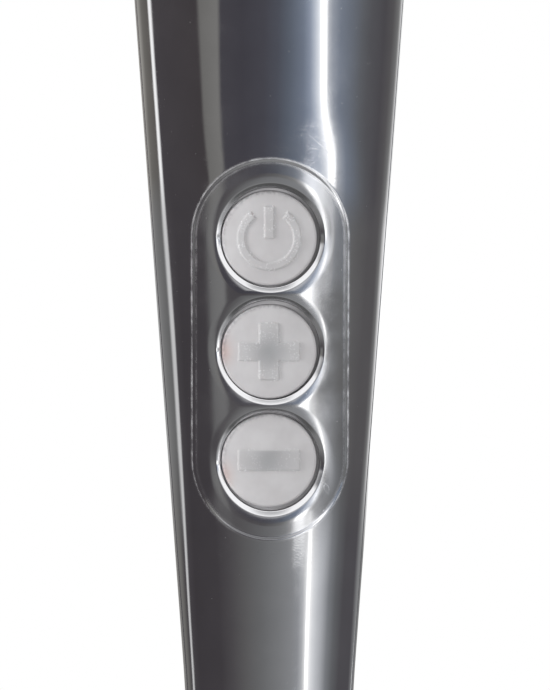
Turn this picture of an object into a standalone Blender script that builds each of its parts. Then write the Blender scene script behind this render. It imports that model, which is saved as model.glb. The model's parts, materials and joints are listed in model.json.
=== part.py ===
"""Handheld wand massager, standing upright on its flat base.

The wand is two polished die-cast shells closed by four screws from behind, a silicone neck round a steel
spring, and a soft cap over a hard head core. A brushed motor in the shoulder turns an unbalanced weight in
the head through a flexible coupling. Three keys in the front shell press switches on a control board.

Axes: +Z runs up the wand, the keys face -Y, and the origin is the middle of the flat base.
"""

import math

import bmesh
import bpy
from mathutils import Vector

MM = 0.001

# Clearance that separate pieces keep where they meet.
GAP = 0.3 * MM

# Handle outline: a straight taper between a waist and an elliptical shoulder.
SHELL_BOTTOM_Z = 10.3 * MM
WAIST_Z = 80 * MM
TAPER_START_Z = 112 * MM
TAPER_END_Z = 237 * MM
SHOULDER_MID_Z = 240 * MM
SHELL_TOP_Z = 262 * MM
BOTTOM_RADIUS = 18.8 * MM
BOTTOM_SLOPE = -0.06
WAIST_RADIUS = 15.5 * MM
PANEL_RADIUS = 21.06 * MM
TAPER_SLOPE = 0.0737
SHOULDER_DROP = 11.4 * MM
WALL = 2.0 * MM
PARTING_Y = -4.6 * MM

# Control panel: a shallow stadium recess with three keys, square to the tapering front line.
PANEL_Z = 172 * MM
KEY_PITCH = 20.8 * MM
PANEL_END_RADIUS = 14.2 * MM
PANEL_DEPTH = 0.4 * MM
KEY_RADIUS = 8.8 * MM
KEY_HOLE_RADIUS = 9.45 * MM
KEY_LIP = 0.95 * MM
KEYS = {"power": 1, "plus": 0, "minus": -1}
# How far each key sits up or down in the play of its hole.
KEY_PLAY = {"power": 0, "plus": -0.15 * MM, "minus": 0.35 * MM}

# Distances in front of the wand's axis, measured square to the tapering front line.
KEY_FACE = 19.35 * MM
KEY_BACK = 13.4 * MM
KEY_NUB_END = 12.7 * MM
MEMBRANE = (12.9 * MM, 14.1 * MM)
MEMBRANE_RADIUS = 10.9 * MM
STEM = (10.4 * MM, 12.4 * MM)
SWITCH = (8.3 * MM, 11.5 * MM)
BOARD = (6.4 * MM, 8.0 * MM)
BOARD_TOP = 37.7 * MM
BOARD_BOTTOM = -41 * MM
BOARD_HALF_WIDTH = 10 * MM
BOARD_SCREW_HEIGHTS = {"upper": 34.5 * MM, "lower": -37 * MM}

# Shell screws, as x, z, the height of the seat under the head, and the depth of the tip.
SHELL_SCREWS = {
    "upper_left": (-18 * MM, 231 * MM, 10 * MM, -12 * MM),
    "upper_right": (18 * MM, 231 * MM, 10 * MM, -12 * MM),
    "lower_left": (-10 * MM, 34 * MM, 6.5 * MM, -9 * MM),
    "lower_right": (10 * MM, 34 * MM, 6.5 * MM, -9 * MM),
}
SCREW_HEAD_RADIUS = 2.7 * MM
SCREW_HEAD_HEIGHT = 2.0 * MM
SCREW_SHANK_RADIUS = 1.2 * MM
BOSS_RADIUS = 3.6 * MM

# Motor in the shoulder.
MOTOR_TOP_Z = 250 * MM
CAN_BOTTOM_Z = 216 * MM
BELL_BOTTOM_Z = 212.8 * MM
CAN_RADIUS = 14 * MM
CAN_WALL = 1.2 * MM
STACK = (224.5 * MM, 243.5 * MM)
STACK_RADIUS = 9.7 * MM
POLES = 5
MOTOR_SHAFT_RADIUS = 1.6 * MM

# Neck, between a groove in the shells and one in the head core.
NECK_PIVOT_Z = 273.5 * MM
NECK_FLANGE_RADIUS = 14.2 * MM
NECK_THROAT_RADIUS = 12.2 * MM
NECK_BORE_RADIUS = 11.2 * MM
NECK_LOWER_FLANGE = (256.3 * MM, 259.0 * MM)
NECK_UPPER_FLANGE = (290.4 * MM, 293.0 * MM)
NECK_FIRST_RIB_Z = 262.6 * MM
RIB_PITCH = 5.6 * MM
RIBS = 4
RIB_CREST = 14.6 * MM
RIB_VALLEY = 12.9 * MM
SPRING_RADIUS = 9.3 * MM
SPRING_WIRE = 0.9 * MM
SPRING_TURNS = 6

# Head.
CORE_RADIUS = 25.7 * MM
CORE_WALL = 2.1 * MM
CORE_SPLIT_Z = 318 * MM
HEAD_RADIUS = 30 * MM
HEAD_TOP_Z = 350 * MM
HEAD_SHAFT_RADIUS = 3 * MM
BEARING_RADIUS = 9.5 * MM
BEARINGS = {"lower": (294.9 * MM, 300.9 * MM), "upper": (331.3 * MM, 337 * MM)}
WEIGHT = (304.5 * MM, 327.5 * MM)
WEIGHT_RADIUS = 20.5 * MM

# Round pieces are turned in this many steps.
COARSE, MEDIUM, FINE = 10, 16, 24

TAPER_ANGLE = math.atan(TAPER_SLOPE)
FRONT_LINE = PANEL_RADIUS * math.cos(TAPER_ANGLE)


def taper_radius(z):
    """Radius of the straight part of the handle at height z."""
    return PANEL_RADIUS + (z - PANEL_Z) * TAPER_SLOPE


def hermite(z, start, end):
    """Cubic through two (z, radius, slope) ends."""
    (z0, r0, m0), (z1, r1, m1) = start, end
    span = z1 - z0
    t = (z - z0) / span
    return (
        (2 * t**3 - 3 * t**2 + 1) * r0
        + (t**3 - 2 * t**2 + t) * span * m0
        + (3 * t**2 - 2 * t**3) * r1
        + (t**3 - t**2) * span * m1
    )


def body_radius(z):
    """Outer radius of the handle at height z."""
    waist = (WAIST_Z, WAIST_RADIUS, 0)
    if z < WAIST_Z:
        return hermite(z, (SHELL_BOTTOM_Z, BOTTOM_RADIUS, BOTTOM_SLOPE), waist)
    if z < TAPER_START_Z:
        start = (TAPER_START_Z, taper_radius(TAPER_START_Z), TAPER_SLOPE)
        return hermite(z, waist, start)
    if z < TAPER_END_Z:
        return taper_radius(z)
    return shoulder_radius(z)


def shoulder_radius(z):
    """Elliptical shoulder that leaves the taper smoothly and closes on the neck."""
    half_height = SHELL_TOP_Z - SHOULDER_MID_Z

    def bulge(height):
        share = (height - SHOULDER_MID_Z) / half_height
        return SHOULDER_DROP * math.sqrt(max(0, 1 - share * share))

    return taper_radius(TAPER_END_Z) - bulge(TAPER_END_Z) + bulge(z)


def stations(*spans):
    """Heights for a turned profile: each span is (start, end, number of steps)."""
    heights = []
    for start, end, count in spans:
        heights += [start + (end - start) * i / count for i in range(count)]
    return heights + [spans[-1][1]]


# Collections, materials and Blender helpers.


def clear_scene():
    for obj in list(bpy.data.objects):
        bpy.data.objects.remove(obj)


def new_collection(name, helper=False):
    collection = bpy.data.collections.new(name)
    bpy.context.scene.collection.children.link(collection)
    collection.hide_render = helper
    return collection


def new_material(name, colour, roughness, metallic=0.0):
    made = bpy.data.materials.new(name)
    made.use_nodes = True
    shader = made.node_tree.nodes["Principled BSDF"]
    shader.inputs["Base Color"].default_value = (*colour, 1)
    shader.inputs["Roughness"].default_value = roughness
    shader.inputs["Metallic"].default_value = metallic
    made.diffuse_color = (*colour, 1)
    return made


clear_scene()
PARTS = new_collection("wand_massager")
CUTTERS = new_collection("cutters", helper=True)

ALLOY = new_material("polished_alloy", (0.62, 0.62, 0.63), 0.08, 1)
STEEL = new_material("steel", (0.55, 0.55, 0.56), 0.3, 1)
COPPER = new_material("copper", (0.72, 0.36, 0.18), 0.35, 1)
BRASS = new_material("brass", (0.70, 0.55, 0.26), 0.3, 1)
FERRITE = new_material("ferrite", (0.09, 0.09, 0.10), 0.7)
KEY_SILICONE = new_material("key_silicone", (0.76, 0.75, 0.77), 0.45)
BLACK_SILICONE = new_material("black_silicone", (0.022, 0.022, 0.025), 0.5)
HARD_PLASTIC = new_material("hard_plastic", (0.07, 0.07, 0.08), 0.45)
BOARD_GREEN = new_material("board_green", (0.02, 0.16, 0.07), 0.4)
RUBBER = new_material("rubber", (0.04, 0.04, 0.04), 0.8)
LED_CLEAR = new_material("led_clear", (0.85, 0.30, 0.25), 0.2)
WIRE_RED = new_material("wire_red", (0.60, 0.03, 0.03), 0.5)
WIRE_BLACK = new_material("wire_black", (0.02, 0.02, 0.02), 0.5)


def add_object(name, data, material):
    """A part object, or a helper where there is no material."""
    obj = bpy.data.objects.new(name, data)
    (PARTS if material else CUTTERS).objects.link(obj)
    if material:
        obj.data.materials.append(material)
    else:
        obj.hide_render = True
        obj.display_type = "WIRE"
    return obj


def turned(name, profile, material=None, steps=MEDIUM, closed=False):
    """Profile of (radius, height) from top to bottom on its outer side, turned about Z."""
    mesh = bpy.data.meshes.new(name)
    edges = [(i, i + 1) for i in range(len(profile) - 1)]
    if closed:
        edges.append((len(profile) - 1, 0))
    mesh.from_pydata([(r, 0, z) for r, z in profile], edges, [])
    obj = add_object(name, mesh, material)
    screw = obj.modifiers.new("turn", "SCREW")
    screw.steps = screw.render_steps = steps
    screw.use_merge_vertices = True
    screw.merge_threshold = 0.00001
    screw.use_smooth_shade = False
    return obj


def ring(name, inner, outer, bottom, top, material=None, steps=MEDIUM):
    profile = [(outer, top), (outer, bottom), (inner, bottom), (inner, top)]
    return turned(name, profile, material, steps, closed=True)


def rod(name, radius, bottom, top, material=None, steps=COARSE):
    profile = [(0, top), (radius, top), (radius, bottom), (0, bottom)]
    return turned(name, profile, material, steps)


def box(name, low, high, material=None):
    """Box between two corners."""
    mesh = bpy.data.meshes.new(name)
    shape = bmesh.new()
    bmesh.ops.create_cube(shape, size=1)
    low, high = Vector(low), Vector(high)
    size = high - low
    bmesh.ops.scale(shape, vec=size, verts=shape.verts)
    bmesh.ops.translate(shape, vec=(low + high) / 2, verts=shape.verts)
    shape.to_mesh(mesh)
    shape.free()
    return add_object(name, mesh, material)


def prism(name, outline, bottom, top, material=None):
    """Closed outline of (x, y) points, raised from bottom to top along Z, as a mesh."""
    curve = bpy.data.curves.new(name + "_outline", "CURVE")
    curve.dimensions = "2D"
    curve.fill_mode = "BOTH"
    curve.extrude = (top - bottom) / 2
    spline = curve.splines.new("POLY")
    spline.points.add(len(outline) - 1)
    for point, (x, y) in zip(spline.points, outline):
        point.co = (x, y, 0, 1)
    spline.use_cyclic_u = True
    flat = bpy.data.objects.new(name + "_outline", curve)
    CUTTERS.objects.link(flat)
    graph = bpy.context.evaluated_depsgraph_get()
    mesh = bpy.data.meshes.new_from_object(flat.evaluated_get(graph))
    bpy.data.objects.remove(flat)
    shape = bmesh.new()
    shape.from_mesh(mesh)
    bmesh.ops.remove_doubles(shape, verts=shape.verts, dist=0.000001)
    bmesh.ops.translate(shape, vec=(0, 0, (top + bottom) / 2), verts=shape.verts)
    bmesh.ops.recalc_face_normals(shape, faces=shape.faces)
    shape.to_mesh(mesh)
    shape.free()
    mesh.materials.clear()
    return add_object(name, mesh, material)


def arc(radius, start, end, count, centre=(0, 0)):
    """Points along a circular arc, with angles in degrees."""
    angles = [math.radians(start + (end - start) * i / count) for i in range(count + 1)]
    return [
        (centre[0] + radius * math.cos(a), centre[1] + radius * math.sin(a)) for a in angles
    ]


def stadium(half_width, half_pitch, count=10):
    """Outline with round ends, long along the second axis."""
    top = arc(half_width, 0, 180, count, (0, half_pitch))
    return top + arc(half_width, 180, 360, count, (0, -half_pitch))


def boolean(target, tool, operation):
    modifier = target.modifiers.new(operation.lower() + "_" + tool.name, "BOOLEAN")
    modifier.operation = operation
    modifier.object = tool


def cut(target, *tools):
    for tool in tools:
        boolean(target, tool, "DIFFERENCE")


def join(target, *tools):
    for tool in tools:
        boolean(target, tool, "UNION")


def stand_forward(obj, x, z):
    """Points an object's own +Z towards the front (-Y), at x and z."""
    obj.rotation_euler = (math.radians(90), 0, 0)
    obj.location = (x, 0, z)
    return obj


def on_panel(obj, panel, x=0, height=0):
    """Points an object's own +Z out of the control panel, at x across and height along it."""
    obj.parent = panel
    obj.rotation_euler = (math.radians(90), 0, 0)
    obj.location = (x, 0, height)
    return obj


def panel_empty():
    """Frame of the control panel: its -Y is square to the tapering front line."""
    panel = bpy.data.objects.new("panel_frame", None)
    CUTTERS.objects.link(panel)
    panel.location = (0, 0, PANEL_Z)
    panel.rotation_euler = (TAPER_ANGLE, 0, 0)
    return panel


def smooth_route(points, per_span=3):
    """Catmull-Rom line through the points."""
    ends = [Vector(p) for p in points]
    ends = [2 * ends[0] - ends[1], *ends, 2 * ends[-1] - ends[-2]]
    line = []
    for a, b, c, d in zip(ends, ends[1:], ends[2:], ends[3:]):
        for i in range(per_span):
            t = i / per_span
            line.append(
                0.5
                * (
                    2 * b
                    + (c - a) * t
                    + (2 * a - 5 * b + 4 * c - d) * t**2
                    + (3 * b - a - 3 * c + d) * t**3
                )
            )
    return line + [ends[-2]]


def wire(name, line, radius, material):
    """Round wire along a line of points, with closed ends."""
    curve = bpy.data.curves.new(name, "CURVE")
    curve.dimensions = "3D"
    curve.bevel_depth = radius
    curve.bevel_resolution = 2
    curve.use_fill_caps = True
    spline = curve.splines.new("POLY")
    spline.points.add(len(line) - 1)
    for point, place in zip(spline.points, line):
        point.co = (*place, 1)
    return add_object(name, curve, material)


# Handle shells.


def shell_blank(name, material):
    """Hollow turned body of both shells, with the groove that holds the neck."""
    outer_heights = stations(
        (SHELL_TOP_Z, 261.4 * MM, 1),
        (261.4 * MM, 258.4 * MM, 2),
        (258.4 * MM, 250 * MM, 3),
        (250 * MM, TAPER_END_Z, 3),
        (TAPER_END_Z, TAPER_START_Z, 1),
        (TAPER_START_Z, WAIST_Z, 3),
        (WAIST_Z, SHELL_BOTTOM_Z, 5),
    )
    outer = [(body_radius(z), z) for z in outer_heights]
    inner_heights = stations(
        (SHELL_BOTTOM_Z, WAIST_Z, 5),
        (WAIST_Z, TAPER_START_Z, 3),
        (TAPER_START_Z, TAPER_END_Z, 1),
        (TAPER_END_Z, 250 * MM, 3),
    )
    inner = [(body_radius(z) - WALL, z) for z in inner_heights]
    lip_radius = 11.9 * MM
    groove_radius = NECK_FLANGE_RADIUS + 0.4 * MM
    mouth_radius = NECK_THROAT_RADIUS + 0.4 * MM
    groove = [
        (20 * MM, 252.2 * MM),
        (lip_radius, 252.6 * MM),
        (lip_radius, 254.2 * MM),
        (groove_radius, 254.2 * MM),
        (groove_radius, 259.3 * MM),
        (mouth_radius, 259.3 * MM),
        (mouth_radius, SHELL_TOP_Z),
    ]
    return turned(name, outer + inner + groove, material, FINE, closed=True)


def boss(name, radius, x, z):
    """Screw boss from front to back, trimmed just inside the outer surface."""
    made = rod(name, radius, -40 * MM, 40 * MM)
    boolean(stand_forward(made, x, z), bpy.data.objects["boss_limit"], "INTERSECT")
    return made


def screw_path(label, x, z, seat, tip):
    """Clearance hole from the tip to the seat, and a well for the head behind it."""
    hole, well = SCREW_SHANK_RADIUS + GAP, SCREW_HEAD_RADIUS + GAP
    front, back = -tip + 2 * GAP, -60 * MM
    profile = [(0, front), (hole, front), (hole, -seat), (well, -seat), (well, back), (0, back)]
    return stand_forward(turned("screw_path_" + label, profile, steps=COARSE), x, z)


def boss_limit():
    """Turned solid just inside the outer surface, which every boss ends on."""
    heights = stations(
        (250 * MM, TAPER_END_Z, 3),
        (TAPER_END_Z, TAPER_START_Z, 1),
        (TAPER_START_Z, WAIST_Z, 3),
        (WAIST_Z, 15 * MM, 5),
    )
    inset = 0.9 * MM
    side = [(body_radius(z) - inset, z) for z in heights]
    return turned("boss_limit", [(0, heights[0]), *side, (0, heights[-1])], steps=FINE)


def panel_recess(panel):
    """Stadium block less a turned core, so that its cut follows the handle's own curve."""
    reach = 40 * MM
    block = prism("panel_recess", stadium(PANEL_END_RADIUS, KEY_PITCH), 0, reach)
    on_panel(block, panel)
    top, bottom = PANEL_Z + reach, PANEL_Z - reach
    floor_top = taper_radius(top) - PANEL_DEPTH
    floor_bottom = taper_radius(bottom) - PANEL_DEPTH
    core = turned(
        "panel_floor",
        [(0, top), (floor_top, top), (floor_bottom, bottom), (0, bottom)],
        steps=FINE,
    )
    cut(block, core)
    return block


def key_hole(panel, name, row):
    """Round hole with a flared mouth."""
    start = 8.3 * MM
    mouth = FRONT_LINE - PANEL_DEPTH
    flare = KEY_LIP * 3
    profile = [
        (0, mouth + flare),
        (KEY_HOLE_RADIUS + KEY_LIP + flare, mouth + flare),
        (KEY_HOLE_RADIUS, mouth - KEY_LIP),
        (KEY_HOLE_RADIUS, start),
        (0, start),
    ]
    hole = turned("key_hole_" + name, profile, steps=FINE)
    return on_panel(hole, panel, height=row * KEY_PITCH)


def board_post(panel, label, height):
    """Post from the board to the inside of the wall."""
    post = rod("board_post_" + label, 2.6 * MM, BOARD[1] + GAP, 40 * MM)
    on_panel(post, panel, height=height)
    boolean(post, bpy.data.objects["boss_limit"], "INTERSECT")
    return post


def shells(panel):
    """Front and rear shells, joined to the same bosses and then parted."""
    front, rear = shell_blank("front_shell", ALLOY), shell_blank("rear_shell", ALLOY)
    bosses = [boss("boss_" + n, BOSS_RADIUS, x, z) for n, (x, z, _, _) in SHELL_SCREWS.items()]
    posts = [board_post(panel, label, height) for label, height in BOARD_SCREW_HEIGHTS.items()]
    join(front, *bosses, *posts)
    join(rear, *bosses)
    far = 60 * MM
    cut(front, box("behind_parting", (-far, PARTING_Y, -far), (far, far, 0.4)))
    cut(rear, box("before_parting", (-far, -far, -far), (far, PARTING_Y + GAP, 0.4)))
    paths = [screw_path(label, *place) for label, place in SHELL_SCREWS.items()]
    cut(front, panel_recess(panel), *paths)
    cut(rear, *paths)
    for label, height in BOARD_SCREW_HEIGHTS.items():
        hole = rod("board_post_hole_" + label, 1.3 * MM, 0, 14.2 * MM)
        cut(front, on_panel(hole, panel, height=height))
    cut(front, *[key_hole(panel, name, row) for name, row in KEYS.items()])


def shell_screws():
    """Pan-head screws with a hexagon socket, driven in from behind."""
    for label, (x, z, seat, tip) in SHELL_SCREWS.items():
        head_bottom = -seat - GAP
        head_top = head_bottom - SCREW_HEAD_HEIGHT
        profile = [
            (0, -tip),
            (SCREW_SHANK_RADIUS, -tip),
            (SCREW_SHANK_RADIUS, head_bottom),
            (SCREW_HEAD_RADIUS, head_bottom),
            (SCREW_HEAD_RADIUS, head_top + 0.5 * MM),
            (SCREW_HEAD_RADIUS - 0.6 * MM, head_top),
            (0, head_top),
        ]
        screw = turned("shell_screw_" + label, profile, STEEL, COARSE)
        socket_depth = 1.1 * MM
        socket = rod("socket_" + label, 1.4 * MM, head_top - MM, head_top + socket_depth, steps=6)
        cut(screw, stand_forward(socket, x, z))
        stand_forward(screw, x, z)


# Base.


def base():
    """Soft end cap that plugs the shells, with the power inlet in its middle."""
    plug_radius = 15.7 * MM
    collar = BOTTOM_RADIUS - 0.1 * MM
    inlet_radius = 5.6 * MM
    profile = [
        (plug_radius, 20 * MM),
        (plug_radius, 10 * MM),
        (collar, 10 * MM),
        (BOTTOM_RADIUS, 6 * MM),
        (18.3 * MM, 1.8 * MM),
        (17.2 * MM, 0.4 * MM),
        (16.2 * MM, 0),
        (inlet_radius + GAP, 0),
        (inlet_radius + GAP, 20 * MM),
    ]
    turned("end_cap", profile, BLACK_SILICONE, FINE, closed=True)
    bore, face, bore_end, back = 2.9 * MM, 0.6 * MM, 11 * MM, 17 * MM
    pin_radius = 1.0 * MM
    profile = [
        (inlet_radius, back),
        (inlet_radius, face),
        (bore, face),
        (bore, bore_end),
        (pin_radius + GAP, bore_end),
        (pin_radius + GAP, back),
    ]
    turned("power_inlet_body", profile, HARD_PLASTIC, MEDIUM, closed=True)
    rod("power_inlet_pin", pin_radius, 2.4 * MM, 18.5 * MM, BRASS)


# Control panel and board.


def keys(panel):
    for name, row in KEYS.items():
        profile = [
            (0, KEY_FACE),
            (5.0 * MM, KEY_FACE - 0.15 * MM),
            (7.6 * MM, KEY_FACE - 0.45 * MM),
            (8.4 * MM, KEY_FACE - 0.75 * MM),
            (KEY_RADIUS, KEY_FACE - 1.25 * MM),
            (KEY_RADIUS, KEY_BACK),
            (1.8 * MM, KEY_BACK),
            (1.8 * MM, KEY_NUB_END),
            (0, KEY_NUB_END),
        ]
        key = turned("key_" + name, profile, KEY_SILICONE, FINE)
        on_panel(key, panel, height=row * KEY_PITCH + KEY_PLAY[name])


def membrane(panel):
    """Silicone sheet behind the front shell, open round each key for its travel."""
    sheet = prism("key_membrane", stadium(MEMBRANE_RADIUS, KEY_PITCH), *MEMBRANE, KEY_SILICONE)
    on_panel(sheet, panel)
    for name, row in KEYS.items():
        hole = rod("membrane_hole_" + name, KEY_RADIUS + 0.35 * MM, 0, 30 * MM, steps=FINE)
        cut(sheet, on_panel(hole, panel, height=row * KEY_PITCH + KEY_PLAY[name]))


def switches(panel):
    """Square tactile switches, each with its own moving stem."""
    half = 3.0 * MM
    for name, row in KEYS.items():
        low = (-half, -half, SWITCH[0])
        body = box("switch_body_" + name, low, (half, half, SWITCH[1]), HARD_PLASTIC)
        on_panel(body, panel, height=row * KEY_PITCH)
        bore = rod("switch_bore_" + name, 2.0 * MM, 9.6 * MM, 14 * MM, steps=COARSE)
        cut(body, on_panel(bore, panel, height=row * KEY_PITCH))
        stem = rod("switch_stem_" + name, 1.7 * MM, *STEM, HARD_PLASTIC)
        on_panel(stem, panel, height=row * KEY_PITCH)
        led = box("led_" + name, (-0.8 * MM, -1.6 * MM, SWITCH[0]), (0.8 * MM, 0, 9.4 * MM), LED_CLEAR)
        on_panel(led, panel, x=-5.4 * MM, height=row * KEY_PITCH + 0.8 * MM)


def board(panel):
    """Circuit board on two posts of the front shell, with its parts on the back."""
    low = (-BOARD_HALF_WIDTH, BOARD_BOTTOM, BOARD[0])
    sheet = box("control_board", low, (BOARD_HALF_WIDTH, BOARD_TOP, BOARD[1]), BOARD_GREEN)
    on_panel(sheet, panel)
    under = BOARD[0] - GAP
    for label, height in BOARD_SCREW_HEIGHTS.items():
        hole = rod("board_hole_" + label, 1.3 * MM, 0, 12 * MM)
        cut(sheet, on_panel(hole, panel, height=height))
        profile = [
            (0, 13 * MM),
            (1.0 * MM, 13 * MM),
            (1.0 * MM, under),
            (2.3 * MM, under),
            (2.3 * MM, under - 1.5 * MM),
            (0, under - 1.5 * MM),
        ]
        screw = turned("board_screw_" + label, profile, STEEL, COARSE)
        on_panel(screw, panel, height=height)
    low = (-3.5 * MM, -3.5 * MM, under - 1.6 * MM)
    chip = box("control_chip", low, (3.5 * MM, 3.5 * MM, under), HARD_PLASTIC)
    on_panel(chip, panel, height=-14 * MM)
    capacitor = rod("smoothing_capacitor", 4 * MM, under - 9 * MM, under, STEEL)
    on_panel(capacitor, panel, x=2 * MM, height=8 * MM)


# Motor.


def motor_case():
    """Drawn steel can with a moulded end bell, two arc magnets, bushes, brushes and rubber mounts."""
    bush_radius = 3.2 * MM
    inside = CAN_RADIUS - CAN_WALL
    snout_top = MOTOR_TOP_Z + 2 * MM
    profile = [
        (bush_radius + CAN_WALL, snout_top),
        (bush_radius + CAN_WALL, MOTOR_TOP_Z),
        (CAN_RADIUS, MOTOR_TOP_Z),
        (CAN_RADIUS, CAN_BOTTOM_Z),
        (inside, CAN_BOTTOM_Z),
        (inside, MOTOR_TOP_Z - CAN_WALL),
        (bush_radius + GAP, MOTOR_TOP_Z - CAN_WALL),
        (bush_radius + GAP, snout_top),
    ]
    turned("motor_can", profile, STEEL, FINE, closed=True)
    spigot = inside - GAP
    bell_top = CAN_BOTTOM_Z + 2 * MM
    profile = [
        (spigot, bell_top),
        (spigot, CAN_BOTTOM_Z - GAP),
        (CAN_RADIUS, CAN_BOTTOM_Z - GAP),
        (CAN_RADIUS, BELL_BOTTOM_Z),
        (bush_radius + GAP, BELL_BOTTOM_Z),
        (bush_radius + GAP, bell_top - MM),
        (spigot - MM, bell_top - MM),
        (spigot - MM, bell_top),
    ]
    turned("motor_end_bell", profile, HARD_PLASTIC, FINE, closed=True)
    bore = MOTOR_SHAFT_RADIUS + GAP
    ring("motor_bush_lower", bore, bush_radius, BELL_BOTTOM_Z, BELL_BOTTOM_Z + 3 * MM, BRASS, COARSE)
    ring("motor_bush_upper", bore, bush_radius, MOTOR_TOP_Z - 2 * MM, snout_top, BRASS, COARSE)
    magnet_outer, magnet_inner, half_span = inside - GAP, 10.4 * MM, 66
    for side, middle in (("left", 180), ("right", 0)):
        outline = arc(magnet_outer, middle - half_span, middle + half_span, 8)
        outline += arc(magnet_inner, middle + half_span, middle - half_span, 8)
        prism("magnet_" + side, outline, STACK[0] - MM, STACK[1] + MM, FERRITE)
    for side, sign in (("left", -1), ("right", 1)):
        near, far = sign * 3.4 * MM, sign * 7.4 * MM
        low = (min(near, far), -1 * MM, CAN_BOTTOM_Z + 1.3 * MM)
        high = (max(near, far), 1 * MM, CAN_BOTTOM_Z + 3.3 * MM)
        box("brush_" + side, low, high, FERRITE)


def motor_mounts():
    """Rubber rings that hold the motor in the shells and keep its buzz out of the hand."""
    for label, bottom, top in (("lower", 217 * MM, 221 * MM), ("upper", 236.6 * MM, 241 * MM)):
        reach = body_radius(bottom) - WALL - 0.5 * MM
        ring("motor_mount_" + label, CAN_RADIUS + GAP, reach, bottom, top, RUBBER, FINE)


def pole_outline(hub, neck_half_width, shoe_inner):
    """Outline of a slotted armature stack: POLES necks out of a hub, each with a wide shoe."""
    outline = []
    half_shoe = 180 / POLES - 6
    for pole in range(POLES):
        middle = 360 * pole / POLES
        neck_at_hub = math.degrees(math.asin(neck_half_width / hub))
        neck_at_shoe = math.degrees(math.asin(neck_half_width / shoe_inner))
        outline += arc(hub, middle - neck_at_hub, middle - neck_at_hub, 1)[:1]
        outline += arc(shoe_inner, middle - neck_at_shoe, middle - half_shoe, 1)
        outline += arc(STACK_RADIUS, middle - half_shoe, middle + half_shoe, 4)
        outline += arc(shoe_inner, middle + half_shoe, middle + neck_at_shoe, 1)
        outline += arc(hub, middle + neck_at_hub, middle + neck_at_hub, 1)[:1]
    return outline


def armature():
    hub, neck, shoe = 3.6 * MM, 1.2 * MM, 8.5 * MM
    stack = prism("armature_stack", pole_outline(hub, neck, shoe), *STACK, STEEL)
    shaft_hole = rod("stack_bore", MOTOR_SHAFT_RADIUS + GAP, 0.2, 0.26)
    cut(stack, shaft_hole)
    end_turn = 3 * MM
    bottom, top = STACK[0] - GAP - end_turn, STACK[1] + GAP + end_turn
    winding = ring("armature_winding", hub + GAP, shoe - GAP, bottom, top, COPPER, MEDIUM)
    for pole in range(POLES):
        low = (0, -neck - GAP, STACK[0] - GAP)
        slot = box(f"winding_slot_{pole}", low, (shoe * 1.2, neck + GAP, STACK[1] + GAP))
        slot.rotation_euler = (0, 0, 2 * math.pi * pole / POLES)
        cut(winding, slot)
    bore = MOTOR_SHAFT_RADIUS + GAP
    ring("commutator", bore, 3.0 * MM, CAN_BOTTOM_Z + 1.1 * MM, STACK[0] - GAP, COPPER, COARSE)
    rod("motor_shaft", MOTOR_SHAFT_RADIUS, 211 * MM, 267.5 * MM, STEEL)


# Drive through the neck.


def coupling():
    """Two hubs joined by a rubber sleeve that bends with the neck."""
    hub_radius = 5 * MM
    ring("coupling_hub_lower", MOTOR_SHAFT_RADIUS + GAP, hub_radius, 262 * MM, 269 * MM, BRASS)
    ring("coupling_hub_upper", HEAD_SHAFT_RADIUS + GAP, hub_radius, 278 * MM, 285 * MM, BRASS)
    ring("coupling_sleeve", hub_radius + GAP, 7 * MM, 263.5 * MM, 283.5 * MM, RUBBER)


def neck():
    """Ribbed sleeve with a flange at each end, over a coil spring."""
    crests = []
    for rib in range(RIBS):
        bottom = NECK_FIRST_RIB_Z + rib * RIB_PITCH
        crests += [
            (RIB_VALLEY, bottom),
            (RIB_CREST, bottom + 0.25 * RIB_PITCH),
            (RIB_CREST, bottom + 0.6 * RIB_PITCH),
            (RIB_VALLEY, bottom + 0.85 * RIB_PITCH),
        ]
    profile = [
        (NECK_BORE_RADIUS, NECK_LOWER_FLANGE[0]),
        (NECK_BORE_RADIUS, NECK_UPPER_FLANGE[1]),
        (NECK_FLANGE_RADIUS, NECK_UPPER_FLANGE[1]),
        (NECK_FLANGE_RADIUS, NECK_UPPER_FLANGE[0]),
        (NECK_THROAT_RADIUS, NECK_UPPER_FLANGE[0]),
        (NECK_THROAT_RADIUS, NECK_FIRST_RIB_Z + RIBS * RIB_PITCH),
        *reversed(crests),
        (NECK_THROAT_RADIUS, NECK_FIRST_RIB_Z - GAP / 2),
        (NECK_THROAT_RADIUS, NECK_LOWER_FLANGE[1]),
        (NECK_FLANGE_RADIUS, NECK_LOWER_FLANGE[1]),
        (NECK_FLANGE_RADIUS, NECK_LOWER_FLANGE[0]),
    ]
    turned("neck_sleeve", profile, BLACK_SILICONE, MEDIUM, closed=True)
    ring("neck_clamp_ring", 7.6 * MM, 14.2 * MM, 254.5 * MM, 256 * MM, ALLOY, FINE)
    bottom, top = 257.3 * MM, 292 * MM
    steps_per_turn = 8
    count = SPRING_TURNS * steps_per_turn
    line = []
    for i in range(count + 1):
        angle = 2 * math.pi * i / steps_per_turn
        height = bottom + (top - bottom) * i / count
        line.append((SPRING_RADIUS * math.cos(angle), SPRING_RADIUS * math.sin(angle), height))
    wire("neck_spring", line, SPRING_WIRE, STEEL)


# Head.


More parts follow.
